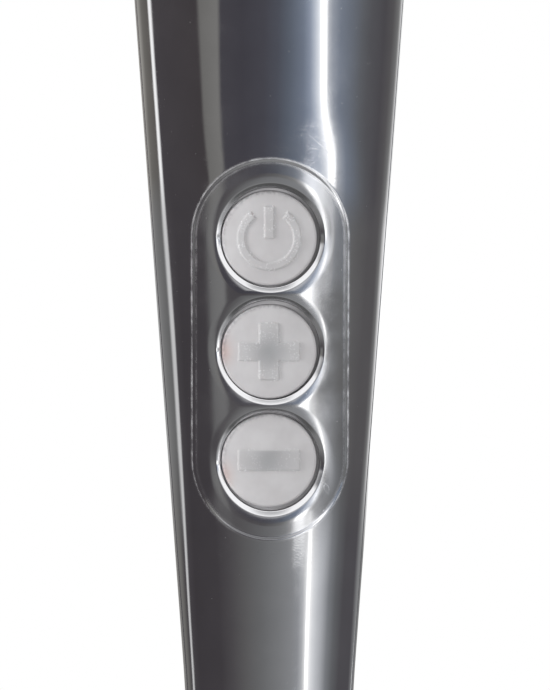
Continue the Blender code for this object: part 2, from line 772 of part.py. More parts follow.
def head_core():
    """Hard bulb in two halves, with a bearing seat in each."""
    seat = BEARING_RADIUS + GAP
    hub = 12.3 * MM
    inner = CORE_RADIUS - CORE_WALL
    split = CORE_SPLIT_Z - GAP / 2
    profile = [
        (CORE_RADIUS, split),
        (25.6 * MM, 302 * MM),
        (24 * MM, 294 * MM),
        (20.5 * MM, 288 * MM),
        (17.2 * MM, 286 * MM),
        (NECK_THROAT_RADIUS + 0.4 * MM, 286 * MM),
        (NECK_THROAT_RADIUS + 0.4 * MM, 290.1 * MM),
        (NECK_FLANGE_RADIUS + 0.4 * MM, 290.1 * MM),
        (NECK_FLANGE_RADIUS + 0.4 * MM, 293.3 * MM),
        (7.5 * MM, 293.3 * MM),
        (7.5 * MM, 294.6 * MM),
        (seat, 294.6 * MM),
        (seat, 301.2 * MM),
        (hub, 301.2 * MM),
        (hub, 296.6 * MM),
        (21.6 * MM, 296.6 * MM),
        (inner, 303 * MM),
        (inner, split),
    ]
    turned("head_core_lower", profile, HARD_PLASTIC, FINE, closed=True)
    split = CORE_SPLIT_Z + GAP / 2
    profile = [
        (0, 345.4 * MM),
        (8 * MM, 344.6 * MM),
        (15 * MM, 341.8 * MM),
        (20.5 * MM, 337 * MM),
        (24 * MM, 330.5 * MM),
        (CORE_RADIUS, 322 * MM),
        (CORE_RADIUS, split),
        (inner, split),
        (inner, 322 * MM),
        (21.8 * MM, 329.8 * MM),
        (18.6 * MM, 335 * MM),
        (hub + 0.7 * MM, 338 * MM),
        (hub, 331 * MM),
        (seat, 331 * MM),
        (seat, 337.3 * MM),
        (5 * MM, 337.3 * MM),
        (5 * MM, 341 * MM),
        (0, 341 * MM),
    ]
    turned("head_core_upper", profile, HARD_PLASTIC, FINE)


def head_cap():
    """Thick soft cap that the core is pressed into."""
    outer = [
        (0, HEAD_TOP_Z),
        (10 * MM, 349.1 * MM),
        (18 * MM, 346.2 * MM),
        (24 * MM, 341.2 * MM),
        (28 * MM, 334 * MM),
        (29.8 * MM, 325.5 * MM),
        (HEAD_RADIUS, 317 * MM),
        (29.5 * MM, 305.5 * MM),
        (27.8 * MM, 296.5 * MM),
        (24.8 * MM, 289.8 * MM),
        (22.4 * MM, 287.2 * MM),
        (20.6 * MM, 286.4 * MM),
    ]
    inner = [
        (19.4 * MM, 286.9 * MM),
        (20.9 * MM, 287.9 * MM),
        (24.4 * MM, 294 * MM),
        (26.05 * MM, 302 * MM),
        (26.05 * MM, 322.1 * MM),
        (24.35 * MM, 330.7 * MM),
        (20.75 * MM, 337.4 * MM),
        (15.1 * MM, 342.2 * MM),
        (8.05 * MM, 345 * MM),
        (0, 345.8 * MM),
    ]
    turned("head_cap", outer + inner, BLACK_SILICONE, FINE)


def head_drive():
    """Shaft in two sealed bearings, with an unbalanced weight between them."""
    rod("head_shaft", HEAD_SHAFT_RADIUS, 276.5 * MM, 340.3 * MM, STEEL)
    for label, (bottom, top) in BEARINGS.items():
        ring("head_bearing_" + label, HEAD_SHAFT_RADIUS + GAP, BEARING_RADIUS, bottom, top, STEEL)
    hub = 6.5 * MM
    outline = arc(WEIGHT_RADIUS, -90, 90, 14) + arc(hub, 90, 270, 8)
    weight = prism("eccentric_weight", outline, *WEIGHT, STEEL)
    cut(weight, rod("weight_bore", HEAD_SHAFT_RADIUS + GAP, 0.28, 0.345))


# Internal leads.


def leads():
    """Inlet leads up to the board, and motor leads from the board to the end bell."""
    radius = 0.7 * MM
    for name, side, material in (("red", 1, WIRE_RED), ("black", -1, WIRE_BLACK)):
        inlet = [
            (3.4, 0.0, 17.5),
            (3.6, 0.2, 30.0),
            (3.0, 2.0, 60.0),
            (3.8, 1.0, 95.0),
            (4.0, -1.4, 122.0),
            (4.0, -2.2, 134.0),
        ]
        motor = [
            (5.0, -7.2, 199.5),
            (5.6, -5.2, 203.0),
            (6.8, -0.5, 206.0),
            (7.6, 4.0, 209.0),
            (8.0, 5.5, 212.4),
        ]
        for end, route in (("inlet", inlet), ("motor", motor)):
            points = [(side * x * MM, y * MM, z * MM) for x, y, z in route]
            wire(f"{end}_lead_{name}", smooth_route(points), radius, material)


def main():
    panel = panel_empty()
    bpy.context.view_layer.update()
    boss_limit()
    shells(panel)
    shell_screws()
    base()
    keys(panel)
    membrane(panel)
    switches(panel)
    board(panel)
    motor_case()
    motor_mounts()
    armature()
    coupling()
    neck()
    head_core()
    head_cap()
    head_drive()
    leads()


main()
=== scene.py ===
"""Looks for the handheld wand massager: a close view of its polished control section."""

import json
import math

import bpy
import numpy as np
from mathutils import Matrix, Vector
from mathutils.geometry import delaunay_2d_cdt


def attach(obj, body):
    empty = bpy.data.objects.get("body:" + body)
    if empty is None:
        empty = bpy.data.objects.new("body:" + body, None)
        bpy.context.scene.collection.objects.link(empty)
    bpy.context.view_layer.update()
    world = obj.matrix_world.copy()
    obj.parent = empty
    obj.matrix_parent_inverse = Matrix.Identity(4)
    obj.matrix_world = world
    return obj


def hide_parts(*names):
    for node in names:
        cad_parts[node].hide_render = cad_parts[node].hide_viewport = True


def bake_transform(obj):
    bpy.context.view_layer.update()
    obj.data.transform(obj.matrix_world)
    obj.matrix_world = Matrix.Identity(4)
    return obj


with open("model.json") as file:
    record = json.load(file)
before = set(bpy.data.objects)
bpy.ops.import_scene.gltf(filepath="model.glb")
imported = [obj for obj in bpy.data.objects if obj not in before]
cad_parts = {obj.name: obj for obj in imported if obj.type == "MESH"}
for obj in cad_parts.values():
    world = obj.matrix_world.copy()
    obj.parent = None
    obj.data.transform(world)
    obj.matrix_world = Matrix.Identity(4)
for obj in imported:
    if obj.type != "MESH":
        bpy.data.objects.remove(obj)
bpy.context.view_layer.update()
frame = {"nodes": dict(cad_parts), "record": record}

MM = 0.001

# Outline of the handle, as in the frame: waist, straight taper, rounded shoulder, neck mouth.
SHELL_BOTTOM = 10.3 * MM
SKIN_BOTTOM = 10.32 * MM
SKIN_START = 11.4
WAIST_Z = 80 * MM
TAPER_START, TAPER_END = 112 * MM, 237 * MM
TAPER = 0.0737
TAPER_ANGLE = math.atan(TAPER)
SHOULDER_Z, SHOULDER_RISE, SHOULDER_BULGE = 240 * MM, 22 * MM, 11.4 * MM
MOUTH_RADIUS, MOUTH_TOP = 12.75 * MM, 262 * MM
# The panel lies behind a shallow rounded step of half-width EDGE.
PANEL_Z = 172 * MM
PANEL_RADIUS = 21.06 * MM
PANEL_END_RADIUS = 14.2 * MM
STEP_DEPTH = 0.11 * MM
EDGE = 0.4 * MM
# Two fine worn lines follow the step, this far out and in, and this wide.
WEAR_OFFSET, WEAR_WIDTH = 0.42 * MM, 0.19 * MM
# Mouth of a key hole, from inside out: a bevel that flattens outwards, a shoulder, and metal drawn in.
HOLE_RADIUS, HOLE_STEPS = 9.25 * MM, 200
BEVEL_END = 9.9 * MM
SHOULDER_END = 10.25 * MM
DRAW_END = 12.0 * MM
BEVEL_ANGLES = math.radians(46), math.radians(42.5)
DRAW_SLOPE = 0.15
# Keys, each a little off its hole's middle. The glow of a lamp inside, through the left edge of two, is
# painted on their colour.
KEY_PITCH = 20.8 * MM
KEY_CENTRES = {"power": KEY_PITCH, "plus": 0.0, "minus": -KEY_PITCH}
KEY_PLAY = {"power": -0.1 * MM, "plus": -0.3 * MM, "minus": 0.24 * MM}
KEY_SIDE = -0.2 * MM
KEY_RADIUS = 8.8 * MM
KEY_BACK, KEY_FACE = 13.6 * MM, 19.35 * MM
KEY_EDGE = 0.55 * MM
PAINTED_GLOW_DROP = {"power": 0, "plus": 0, "minus": 3.0 * MM}
# The shells meet beside the middle plane, with rounded edges that turn inwards.
PARTING_FRONT_Y, PARTING_REAR_Y = -4.6 * MM, -4.3 * MM
PARTING_ROUND, PARTING_RETURN = 0.35 * MM, 1.4 * MM

ACROSS = np.array([1.0, 0, 0])
UP_PANEL = np.array([0, -math.sin(TAPER_ANGLE), math.cos(TAPER_ANGLE)])
OUT_PANEL = np.array([0, -math.cos(TAPER_ANGLE), -math.sin(TAPER_ANGLE)])
PANEL_CENTRE = np.array([0, 0, PANEL_Z])
# A length as good as none: it sets a hole's innermost ring just outside the hole.
HAIR = 1e-7
# Keeps a division by a vanishing length safe.
TINY = 1e-12


# -------- outline of the handle


def hermite(z, start, end):
    (z0, r0, m0), (z1, r1, m1) = start, end
    length = z1 - z0
    t = (z - z0) / length
    return (
        (2 * t**3 - 3 * t**2 + 1) * r0
        + (t**3 - 2 * t**2 + t) * length * m0
        + (3 * t**2 - 2 * t**3) * r1
        + (t**3 - t**2) * length * m1
    )


def taper_radius(z):
    return PANEL_RADIUS + (z - PANEL_Z) * TAPER


def shoulder_bulge(z):
    return SHOULDER_BULGE * math.sqrt(max(0, 1 - ((z - SHOULDER_Z) / SHOULDER_RISE) ** 2))


def body_radius(z):
    waist = (WAIST_Z, 15.5 * MM, 0)
    if z < WAIST_Z:
        return hermite(z, (SHELL_BOTTOM, 18.8 * MM, -0.06), waist)
    if z < TAPER_START:
        return hermite(z, waist, (TAPER_START, taper_radius(TAPER_START), TAPER))
    if z < TAPER_END:
        return taper_radius(z)
    return taper_radius(TAPER_END) - shoulder_bulge(TAPER_END) + shoulder_bulge(z)


def outline():
    """Radius and height along the handle's skin, from inside its bottom edge to inside its neck mouth."""
    points = [(17.2 * MM, SKIN_BOTTOM), (18.2 * MM, SKIN_BOTTOM)]
    fillet = 0.5 * MM
    edge = body_radius(SHELL_BOTTOM + fillet) - fillet
    for a in range(-80, 1, 10):
        t = math.radians(a)
        points.append((edge + fillet * math.cos(t), SKIN_BOTTOM + fillet + fillet * math.sin(t)))
    points += [(body_radius(z * MM), z * MM) for z in np.arange(SKIN_START, 236.9, 0.5)]
    for a in np.linspace(-7.8, 76, 70):
        z = SHOULDER_Z + SHOULDER_RISE * math.sin(math.radians(a))
        points.append((body_radius(z), z))
    # roll over from the shoulder into the neck mouth
    r0, z0 = points[-1]
    for a in np.linspace(0, 1, 14)[1:]:
        t = a * math.pi / 2
        r = r0 + (MOUTH_RADIUS - r0) * (1 - math.cos(t)) ** 0.8
        points.append((r, z0 + (MOUTH_TOP - z0) * math.sin(t) ** 0.9))
    points += [(MOUTH_RADIUS, 261.2 * MM), (MOUTH_RADIUS, 259.6 * MM)]
    pts = np.array(points)
    length = np.concatenate([[0], np.cumsum(np.hypot(*np.diff(pts, axis=0).T))])
    return length, pts[:, 0], pts[:, 1]


RUN, RUN_R, RUN_Z = outline()


def run_at(z):
    """Distance along the skin at height z, on the outer side."""
    outer = (RUN_Z > SKIN_START * MM) & (RUN < RUN[np.argmax(RUN_Z)])
    return np.interp(z, RUN_Z[outer], RUN[outer])


# -------- mesh helpers


def placed(name, data):
    """A new object in the scene."""
    obj = bpy.data.objects.new(name, data)
    bpy.context.scene.collection.objects.link(obj)
    return obj


def build_mesh(name, verts, faces, normals=None, sharp=None):
    """Smooth piece, with hard edges above the sharp angle in degrees."""
    mesh = bpy.data.meshes.new(name)
    mesh.from_pydata([tuple(v) for v in verts], [], [tuple(int(i) for i in f) for f in faces])
    mesh.validate()
    mesh.polygons.foreach_set("use_smooth", [True] * len(mesh.polygons))
    if normals is not None:
        mesh.normals_split_custom_set_from_vertices([tuple(n) for n in normals])
    mesh.update()
    obj = placed(name, mesh)
    if sharp:
        mesh.set_sharp_from_angle(angle=math.radians(sharp))
    return obj


def mark(obj, label, values):
    """Give a piece's first vertices these values, and the others 0, under a name that its material reads."""
    whole = np.zeros(len(obj.data.vertices), np.float32)
    whole[: len(values)] = values
    obj.data.attributes.new(label, "FLOAT", "POINT").data.foreach_set("value", whole)


def ring_pairs(count):
    """Each place on a closed ring with the next one."""
    return [(i, (i + 1) % count) for i in range(count)]


def tube(start, count, rings=2):
    """Faces round rings of that many points each, which follow one another from a first point."""
    firsts = range(start, start + (rings - 1) * count, count)
    return [(a + i, a + count + i, a + count + j, a + j) for a in firsts for i, j in ring_pairs(count)]


# A moulding line's width in degrees, and where its side of a turned body has extra edges.
SEAM_WIDTH = 0.6
SEAM_STEPS = (0.4, 0.9, 1.6)


def lathe(name, profile, steps, closed=False, seam=0.0):
    """Turned body: (radius, height) points from bottom to top on its outer side.

    A seam raises a fine moulding line by that height down its left and right sides."""
    angles = list(np.arange(steps) * 2 * math.pi / steps)
    if seam:
        for side in (0, math.pi):
            angles += [side + sign * math.radians(a) for a in SEAM_STEPS for sign in (-1, 1)]
    angles = np.array(sorted(a % (2 * math.pi) for a in angles))
    steps = len(angles)
    off_seam = np.degrees(np.abs((angles + math.pi / 2) % math.pi - math.pi / 2))
    raised = seam * np.exp(-((off_seam / SEAM_WIDTH) ** 2))
    verts, rings = [], []
    for r, z in profile:
        if r < HAIR:
            rings.append([len(verts)])
            verts.append((0, 0, z))
        else:
            rings.append(list(range(len(verts), len(verts) + steps)))
            verts += [((r + d) * math.cos(a), (r + d) * math.sin(a), z) for a, d in zip(angles, raised)]
    pairs = list(zip(rings, rings[1:]))
    if closed:
        pairs.append((rings[-1], rings[0]))
    faces = []
    for low, high in pairs:
        for i, j in ring_pairs(steps):
            if len(low) == 1:
                faces.append((low[0], high[j], high[i]))
            elif len(high) == 1:
                faces.append((low[i], low[j], high[0]))
            else:
                faces.append((low[i], low[j], high[j], high[i]))
    return build_mesh(name, verts, faces, sharp=50)


def smooth_curve(points, steps):
    """Catmull-Rom curve through the points."""
    pts = [np.array(p, float) for p in points]
    pts = [2 * pts[0] - pts[1], *pts, 2 * pts[-1] - pts[-2]]
    made = []
    for a, b, c, d in zip(pts, pts[1:], pts[2:], pts[3:]):
        for t in np.arange(steps) / steps:
            made.append(0.5 * (2 * b + (c - a) * t + (2 * a - 5 * b + 4 * c - d) * t**2
                               + (3 * b - 3 * c + d - a) * t**3))
    return [tuple(p) for p in made] + [tuple(pts[-2])]


def in_mm(points):
    return [(r * MM, z * MM) for r, z in points]


def rounded(points, radius, steps):
    """Polyline with its inner corners rounded."""
    made = [points[0]]
    for a, b, c in zip(points, points[1:], points[2:]):
        a, b, c = (np.array(p, float) for p in (a, b, c))
        u, v = a - b, c - b
        lu, lv = np.linalg.norm(u), np.linalg.norm(v)
        cut = min(radius, lu * 0.45, lv * 0.45)
        p, q = b + u / lu * cut, b + v / lv * cut
        for i in range(steps + 1):
            t = i / steps
            made.append(tuple((1 - t) ** 2 * p + 2 * t * (1 - t) * b + t**2 * q))
    return made + [points[-1]]


def triangulate(points, holes=()):
    """Delaunay triangles over 2D points, but none inside a hole's rim, given as its first point and count."""
    got = delaunay_2d_cdt([Vector(p) for p in points], [], [], 0, 1e-9)
    source = [ids[0] if ids else -1 for ids in got[3]]
    faces = np.array([[source[i] for i in f] for f in got[2]])
    rim = np.full(len(points), -1)
    for k, (first, count) in enumerate(holes):
        rim[first : first + count] = k
    ids = rim[faces]
    inside = (ids[:, 0] >= 0) & (ids[:, 0] == ids[:, 1]) & (ids[:, 1] == ids[:, 2])
    return faces[~inside]


def turned_to(normals, faces, verts):
    """Faces turned so that each looks the way of its first corner's normal."""
    corners = verts[faces]
    outward = np.cross(corners[:, 1] - corners[:, 0], corners[:, 2] - corners[:, 0])
    wrong = np.einsum("ij,ij->i", outward, normals[faces[:, 0]]) < 0
    return np.where(wrong[:, None], faces[:, ::-1], faces)


def smooth_step(t):
    t = np.clip(t, 0, 1)
    return t * t * t * (t * (6 * t - 15) + 10)


def circle_points(radius, count, centre):
    a = np.arange(count) * 2 * math.pi / count
    return centre[0] + radius * np.cos(a), centre[1] + radius * np.sin(a)


# -------- shells


def panel_xy(points):
    """Across and along the panel."""
    rel = points - PANEL_CENTRE
    return rel[:, 0], rel @ UP_PANEL


def on_panel(x, h, n, centre=PANEL_CENTRE):
    """Points across, along and out from a centre on the panel."""
    return centre + np.outer(x, ACROSS) + np.outer(h, UP_PANEL) + np.outer(n, OUT_PANEL)


def lip_slope(r):
    """Slope of the metal towards a key hole at a distance from its middle."""
    steep, flat = BEVEL_ANGLES
    bevel = np.tan(steep + (flat - steep) * np.clip((r - HOLE_RADIUS) / (BEVEL_END - HOLE_RADIUS), 0, 1))
    draw = DRAW_SLOPE * np.clip((DRAW_END - r) / (DRAW_END - SHOULDER_END), 0, 1)
    share = smooth_step((r - BEVEL_END) / (SHOULDER_END - BEVEL_END))
    return bevel * (1 - share) + draw * share


LIP_R = np.linspace(HOLE_RADIUS, DRAW_END, 1500)
LIP_DEPTH = np.cumsum(lip_slope(LIP_R)[::-1])[::-1] * (LIP_R[1] - LIP_R[0])
LIP_DEPTH -= LIP_DEPTH[-1]


def lip_depth(r):
    """How far the metal sinks at a distance from the middle of a key hole."""
    return np.interp(r, LIP_R, LIP_DEPTH)


def stadium_distance(x, h):
    """Distance out from the panel's outline."""
    return np.hypot(x, np.maximum(np.abs(h) - KEY_PITCH, 0)) - PANEL_END_RADIUS


def step_shape(x, h):
    """Half-width and depth of the panel's step, which is bolder at the lower right."""
    angle = np.degrees(np.arctan2(h + KEY_PITCH, x))
    bold = np.where(h < 0, np.exp(-(((angle + 26) / 22) ** 2)), 0)
    return EDGE * (1 + 0.4 * bold), STEP_DEPTH * (1 + 0.9 * bold)


def front_relief(points):
    x, h = panel_xy(points)
    width, depth = step_shape(x, h)
    sunk = depth * (1 - smooth_step((stadium_distance(x, h) + width) / (2 * width)))
    lips = sum(lip_depth(np.hypot(x, h - centre)) for centre in KEY_CENTRES.values())
    front = (points[:, 1] < 0) & (np.abs(h) < 60 * MM)
    return points - OUT_PANEL * np.where(front, sunk + lips, 0)[:, None]


# Screw wells of the rear shell: across and height of each, and how far back its screw's head sits.
WELLS = {}
for row, x, z, seat in (("upper", 18, 231, 10.3), ("lower", 10, 34, 6.8)):
    for side, sign in (("left", -1), ("right", 1)):
        WELLS[f"{row}_{side}"] = (sign * x * MM, z * MM, seat * MM)
WELL_RADIUS, WELL_STEPS = 3.0 * MM, 64
WELL_LIP = 0.45 * MM


def rear_relief(points):
    out = points.copy()
    depth = np.zeros(len(points))
    for x, z, _ in WELLS.values():
        r = np.hypot(points[:, 0] - x, points[:, 2] - z)
        inside = np.clip(WELL_LIP - (r - WELL_RADIUS), 0, WELL_LIP)
        depth = np.maximum(depth, WELL_LIP - np.sqrt(np.maximum(WELL_LIP**2 - inside**2, 0)))
    out[:, 1] -= np.where(points[:, 1] > 0, depth, 0)
    return out


class Skin:
    """One shell's outer skin over (s, run): s goes from one parting edge to the other."""

    def __init__(self, front):
        self.front = front
        self.side = 1 if front else -1

    def spread(self, run):
        r = np.interp(run, RUN, RUN_R)
        if self.front:
            return np.arccos((-PARTING_FRONT_Y + PARTING_ROUND) / r)
        return math.pi - np.arccos((-PARTING_REAR_Y - PARTING_ROUND) / r)

    def place(self, s, run, relief=True):
        r, z = np.interp(run, RUN, RUN_R), np.interp(run, RUN, RUN_Z)
        angle = s * self.spread(run)
        points = np.stack([r * np.sin(angle), -self.side * r * np.cos(angle), z], axis=1)
        if not relief:
            return points
        return front_relief(points) if self.front else rear_relief(points)

    def normals(self, s, run):
        e = 2e-6
        ds = e / (self.spread(run) * 0.02)
        a = self.place(s + ds, run) - self.place(s - ds, run)
        b = self.place(s, run + e) - self.place(s, run - e)
        n = self.side * np.cross(a, b)
        return n / np.maximum(np.linalg.norm(n, axis=1), TINY)[:, None]

    def locate(self, points):
        """(s, run) of points on the plain skin."""
        run = run_at(points[:, 2])
        angle = np.arctan2(points[:, 0], -self.side * points[:, 1])
        return angle / self.spread(run), run


def on_cone(x, h):
    """Points of the plain front skin that project to (x, h) on the panel."""
    n = np.full(len(x), PANEL_RADIUS)
    c, s = math.cos(TAPER_ANGLE), math.sin(TAPER_ANGLE)
    # Newton steps on n, the distance out from the axis, square to the panel
    for _ in range(12):
        y, z = -s * h - c * n, PANEL_Z + c * h - s * n
        rho = np.hypot(x, y)
        n -= (rho - taper_radius(z)) / (y / rho * -c + TAPER * s)
    return np.stack([x, -s * h - c * n, PANEL_Z + c * h - s * n], axis=1)


def stadium_points(offset, spacing):
    """Ring round the panel at an offset from its outline."""
    r = PANEL_END_RADIUS + offset
    a = np.linspace(0, math.pi, int(math.pi * PANEL_END_RADIUS / spacing) + 1)
    line = np.linspace(KEY_PITCH, -KEY_PITCH, int(2 * KEY_PITCH / spacing) + 1)[1:-1]
    side = np.full(len(line), r)
    x = np.concatenate([r * np.cos(a), -side, -r * np.cos(a), side])
    return x, np.concatenate([KEY_PITCH + r * np.sin(a), line, -KEY_PITCH - r * np.sin(a), -line])


def front_rings():
    """Ring points round the panel's edge and the key holes; each hole's rim, as its first point and count."""
    beside = [sign * (EDGE + d * MM) for d in (0.2, 0.42) for sign in (-1, 1)]
    rings = [stadium_points(offset, 0.45 * MM) for offset in [*np.linspace(-EDGE, EDGE, 15), *beside]]
    stations = HOLE_RADIUS, BEVEL_END, SHOULDER_END, DRAW_END
    radii = [HOLE_RADIUS + HAIR]
    for inner, outer in zip(stations, stations[1:]):
        radii += [*np.linspace(inner, outer, 7)[1:]]
    holes = []
    for centre in KEY_CENTRES.values():
        for r in radii:
            x, h = circle_points(r, HOLE_STEPS, (0, centre))
            keep = stadium_distance(x, h) < -EDGE - 0.5 * MM
            for other in KEY_CENTRES.values():
                if other != centre:
                    keep &= np.hypot(x, h - other) > r + 0.05 * MM
            if r == radii[0]:
                holes.append((sum(len(ring[0]) for ring in rings), HOLE_STEPS))
            rings.append((x[keep], h[keep]))
    return on_cone(*(np.concatenate(v) for v in zip(*rings))), holes


def front_keep(points):
    """Grid points clear of the rings."""
    x, h = panel_xy(points)
    keep = np.abs(stadium_distance(x, h)) > EDGE + 0.65 * MM
    for centre in KEY_CENTRES.values():
        keep &= np.hypot(x, h - centre) > DRAW_END + 0.25 * MM
    return keep | (points[:, 1] > 0)


def rear_rings():
    """Ring points round the screw wells; each well's rim, as its first point and count."""
    radii = [WELL_RADIUS + HAIR]
    radii += [WELL_RADIUS + WELL_LIP * (1 - math.cos(b)) for b in np.radians(np.linspace(12, 90, 7))]
    radii += [WELL_RADIUS + WELL_LIP + d * MM for d in (0.15, 0.5)]
    rings, holes = [], []
    for x0, z0, _ in WELLS.values():
        holes.append((sum(len(ring) for ring in rings), WELL_STEPS))
        for r in radii:
            x, z = circle_points(r, WELL_STEPS, (x0, z0))
            y = np.sqrt(np.array([body_radius(v) for v in z]) ** 2 - x**2)
            rings.append(np.stack([x, y, z], axis=1))
    return np.concatenate(rings), holes


def rear_keep(points):
    """Grid points clear of the rings."""
    keep = np.ones(len(points), bool)
    for x0, z0, _ in WELLS.values():
        keep &= np.hypot(points[:, 0] - x0, points[:, 2] - z0) > WELL_RADIUS + WELL_LIP + 0.9 * MM
    return keep | (points[:, 1] < 0)


def hole_wall(verts, normals, faces, rim, axis, depth):
    """Wall of a hole, with a hard turn where it leaves the lip."""
    first, count = rim
    ring = verts[first : first + count]
    middle = np.mean(ring, axis=0)
    deepest = min(np.dot(p, axis) for p in ring) - depth
    start = len(verts)
    for p in ring:
        inward = middle - p
        inward -= axis * np.dot(inward, axis)
        normals.append(inward / np.linalg.norm(inward))
    normals += normals[start:]
    verts += ring
    verts += [p - axis * (np.dot(p, axis) - deepest) for p in ring]
    faces += tube(start, count)


def parting_edge(verts, normals, faces, picked, side, front):
    """Rounded parting edge along the picked points, then a return inwards along the parting plane."""
    steps = 6
    width = steps + 2
    target = np.array([0, 1.0 if front else -1.0, 0])
    start = len(verts)
    for p, n in [(verts[i], normals[i]) for i in picked]:
        out = np.array([n[0], n[1], 0.0])
        length = np.linalg.norm(out)
        out = out / length if length >= 0.05 else np.array([float(side), 0, 0])
        total = math.acos(np.clip(np.dot(out, target), -1, 1))
        sign = 1 if np.cross(out, target)[2] > 0 else -1
        centre = p - out * PARTING_ROUND
        for k in range(steps + 1):
            a = sign * total * k / steps
            c, s = math.cos(a), math.sin(a)
            d = np.array([out[0] * c - out[1] * s, out[0] * s + out[1] * c, 0])
            verts.append(centre + d * PARTING_ROUND)
            d = d * (1 - abs(n[2])) + np.array([0, 0, n[2]]) * (1 - k / steps)
            normals.append(d / max(np.linalg.norm(d), TINY))
        verts.append(verts[-1] - np.array([side * PARTING_RETURN, 0, 0]))
        normals.append(normals[-1])
    for i in range(len(picked) - 1):
        for a in range(start + i * width, start + (i + 1) * width - 1):
            faces.append((a, a + 1, a + width + 1, a + width))


def shell(name, front):
    """Shell skin with its holes, hole walls and rounded parting edges."""
    skin = Skin(front)
    # a grid, closer round the bottom edge and over the shoulder, with the rings in its gaps
    bottom, shoulder = RUN[12], run_at(236 * MM)
    rows = np.unique(np.concatenate([np.linspace(0, bottom, 16), np.arange(bottom, shoulder, 1.3 * MM),
                                     np.linspace(shoulder, RUN[-1], 70)]))
    columns = np.linspace(-1, 1, 121 if front else 131)
    s_grid, run_grid = (grid.ravel() for grid in np.meshgrid(columns, rows))
    plain_skin = skin.place(s_grid, run_grid, relief=False)
    edge = np.abs(s_grid) > 0.9999
    keep = edge | (front_keep(plain_skin) if front else rear_keep(plain_skin))
    s_grid, run_grid, edge = s_grid[keep], run_grid[keep], edge[keep]
    rings, holes = front_rings() if front else rear_rings()
    s_rings, run_rings = skin.locate(rings)
    s, run = np.concatenate([s_rings, s_grid]), np.concatenate([run_rings, run_grid])
    width = 28.4 * MM if front else 40 * MM
    verts, normals = skin.place(s, run), skin.normals(s, run)
    faces = turned_to(normals, triangulate(np.stack([s * width, run], axis=1) * 100, holes), verts)
    verts, normals, walls = list(verts), list(normals), []
    axis, depth = (OUT_PANEL, 3.2 * MM) if front else (np.array([0.0, 1.0, 0.0]), 8.0 * MM)
    for rim in holes:
        hole_wall(verts, normals, walls, rim, axis, depth)
    for side in (-1, 1):
        picked = len(s_rings) + np.flatnonzero(edge & (s_grid * side > 0))
        parting_edge(verts, normals, walls, picked, side, front)
    verts, normals = np.array(verts), np.array(normals)
    obj = build_mesh(name, verts, [*faces, *turned_to(normals, np.array(walls), verts)], normals)
    if front:
        x, h = panel_xy(verts)
        away = stadium_distance(x, h)
        ahead = verts[:, 1] < 0
        outer, inner = (np.exp(-(((away - at) / WEAR_WIDTH) ** 2)) for at in (WEAR_OFFSET, -WEAR_OFFSET))
        below = np.clip((-KEY_PITCH - h) / PANEL_END_RADIUS, 0, 1)
        mark(obj, "worn", ahead * (outer + 0.4 * inner) * (1 - 0.6 * below))
        mark(obj, "panel", ahead * (away < 0))
    return obj


# -------- keys


def bar_distance(x, y, half_x, half_y, radius):
    """Signed distance to a bar with rounded corners, negative inside."""
    dx, dy = np.abs(x) - half_x + radius, np.abs(y) - half_y + radius
    return np.hypot(np.maximum(dx, 0), np.maximum(dy, 0)) + np.minimum(np.maximum(dx, dy), 0) - radius


def icon_distance(kind, x, y):
    """Signed distance to the raised symbol, negative inside."""
    if kind == "plus":
        across = bar_distance(x, y, 5.7 * MM, 1.65 * MM, 0.3 * MM)
        return np.minimum(across, bar_distance(x, y, 1.85 * MM, 5.2 * MM, 0.3 * MM))
    if kind == "minus":
        return bar_distance(x, y, 5.75 * MM, 1.9 * MM, 0.25 * MM)
    r = np.hypot(x, y)
    ring = np.abs(r - 5.2 * MM) - 0.7 * MM
    half_gap = math.radians(35)
    # distance past the gap's side, taken square to it
    past = r * np.sin(np.clip(half_gap - np.arctan2(np.abs(x), y), -math.pi / 2, math.pi / 2))
    bar = bar_distance(x, y - 2.9 * MM, 0.85 * MM, 2.9 * MM, 0.2 * MM)
    return np.minimum(np.maximum(ring, past), bar)


def key_height(kind, x, y):
    """Height of a key's face: a low dome and saddle, a rounded edge and the raised symbol."""
    r = np.hypot(x, y)
    dome = -0.25 * MM * (r / (8 * MM)) ** 2
    t = np.clip((r - (KEY_RADIUS - KEY_EDGE)) / KEY_EDGE, 0, 0.9995)
    edge = -KEY_EDGE * (1 - np.sqrt(1 - t * t))
    icon = smooth_step((0.22 * MM - icon_distance(kind, x, y)) / (0.44 * MM))
    saddle = (0.42 * MM * y * y - 0.6 * MM * x * x) / KEY_RADIUS**2
    return KEY_FACE + dome + saddle + edge + 0.38 * MM * icon


def key_patterns(kind, x, y):
    """Where a key's face has its symbol, the symbol's edge, a worn middle, a rim with painted shade at the
    upper left, and a painted glow of a lamp inside.
    """
    distance, r = icon_distance(kind, x, y), np.hypot(x, y)
    lit = kind != "power"
    # painted reddish glow near the left edge, standing in for a lamp inside shining through
    glow = np.hypot(x + 8.4 * MM, (y + PAINTED_GLOW_DROP[kind]) / 1.6) / (1.5 * MM)
    # painted shade: the rim is darker towards the upper left
    painted_shade_upper_left = smooth_step((y - 0.8 * x) / (9 * MM))
    return {
        "icon": smooth_step((0.12 * MM - distance) / (0.3 * MM)),
        "icon_edge": np.exp(-((distance / (0.3 * MM)) ** 2)),
        "worn": np.exp(-((r / (3.4 * MM)) ** 2)) * lit,
        "rim": smooth_step((r - KEY_RADIUS + 1.1 * MM) / (0.9 * MM)) * painted_shade_upper_left,
        "glow": np.exp(-(glow**2)) * lit,
    }


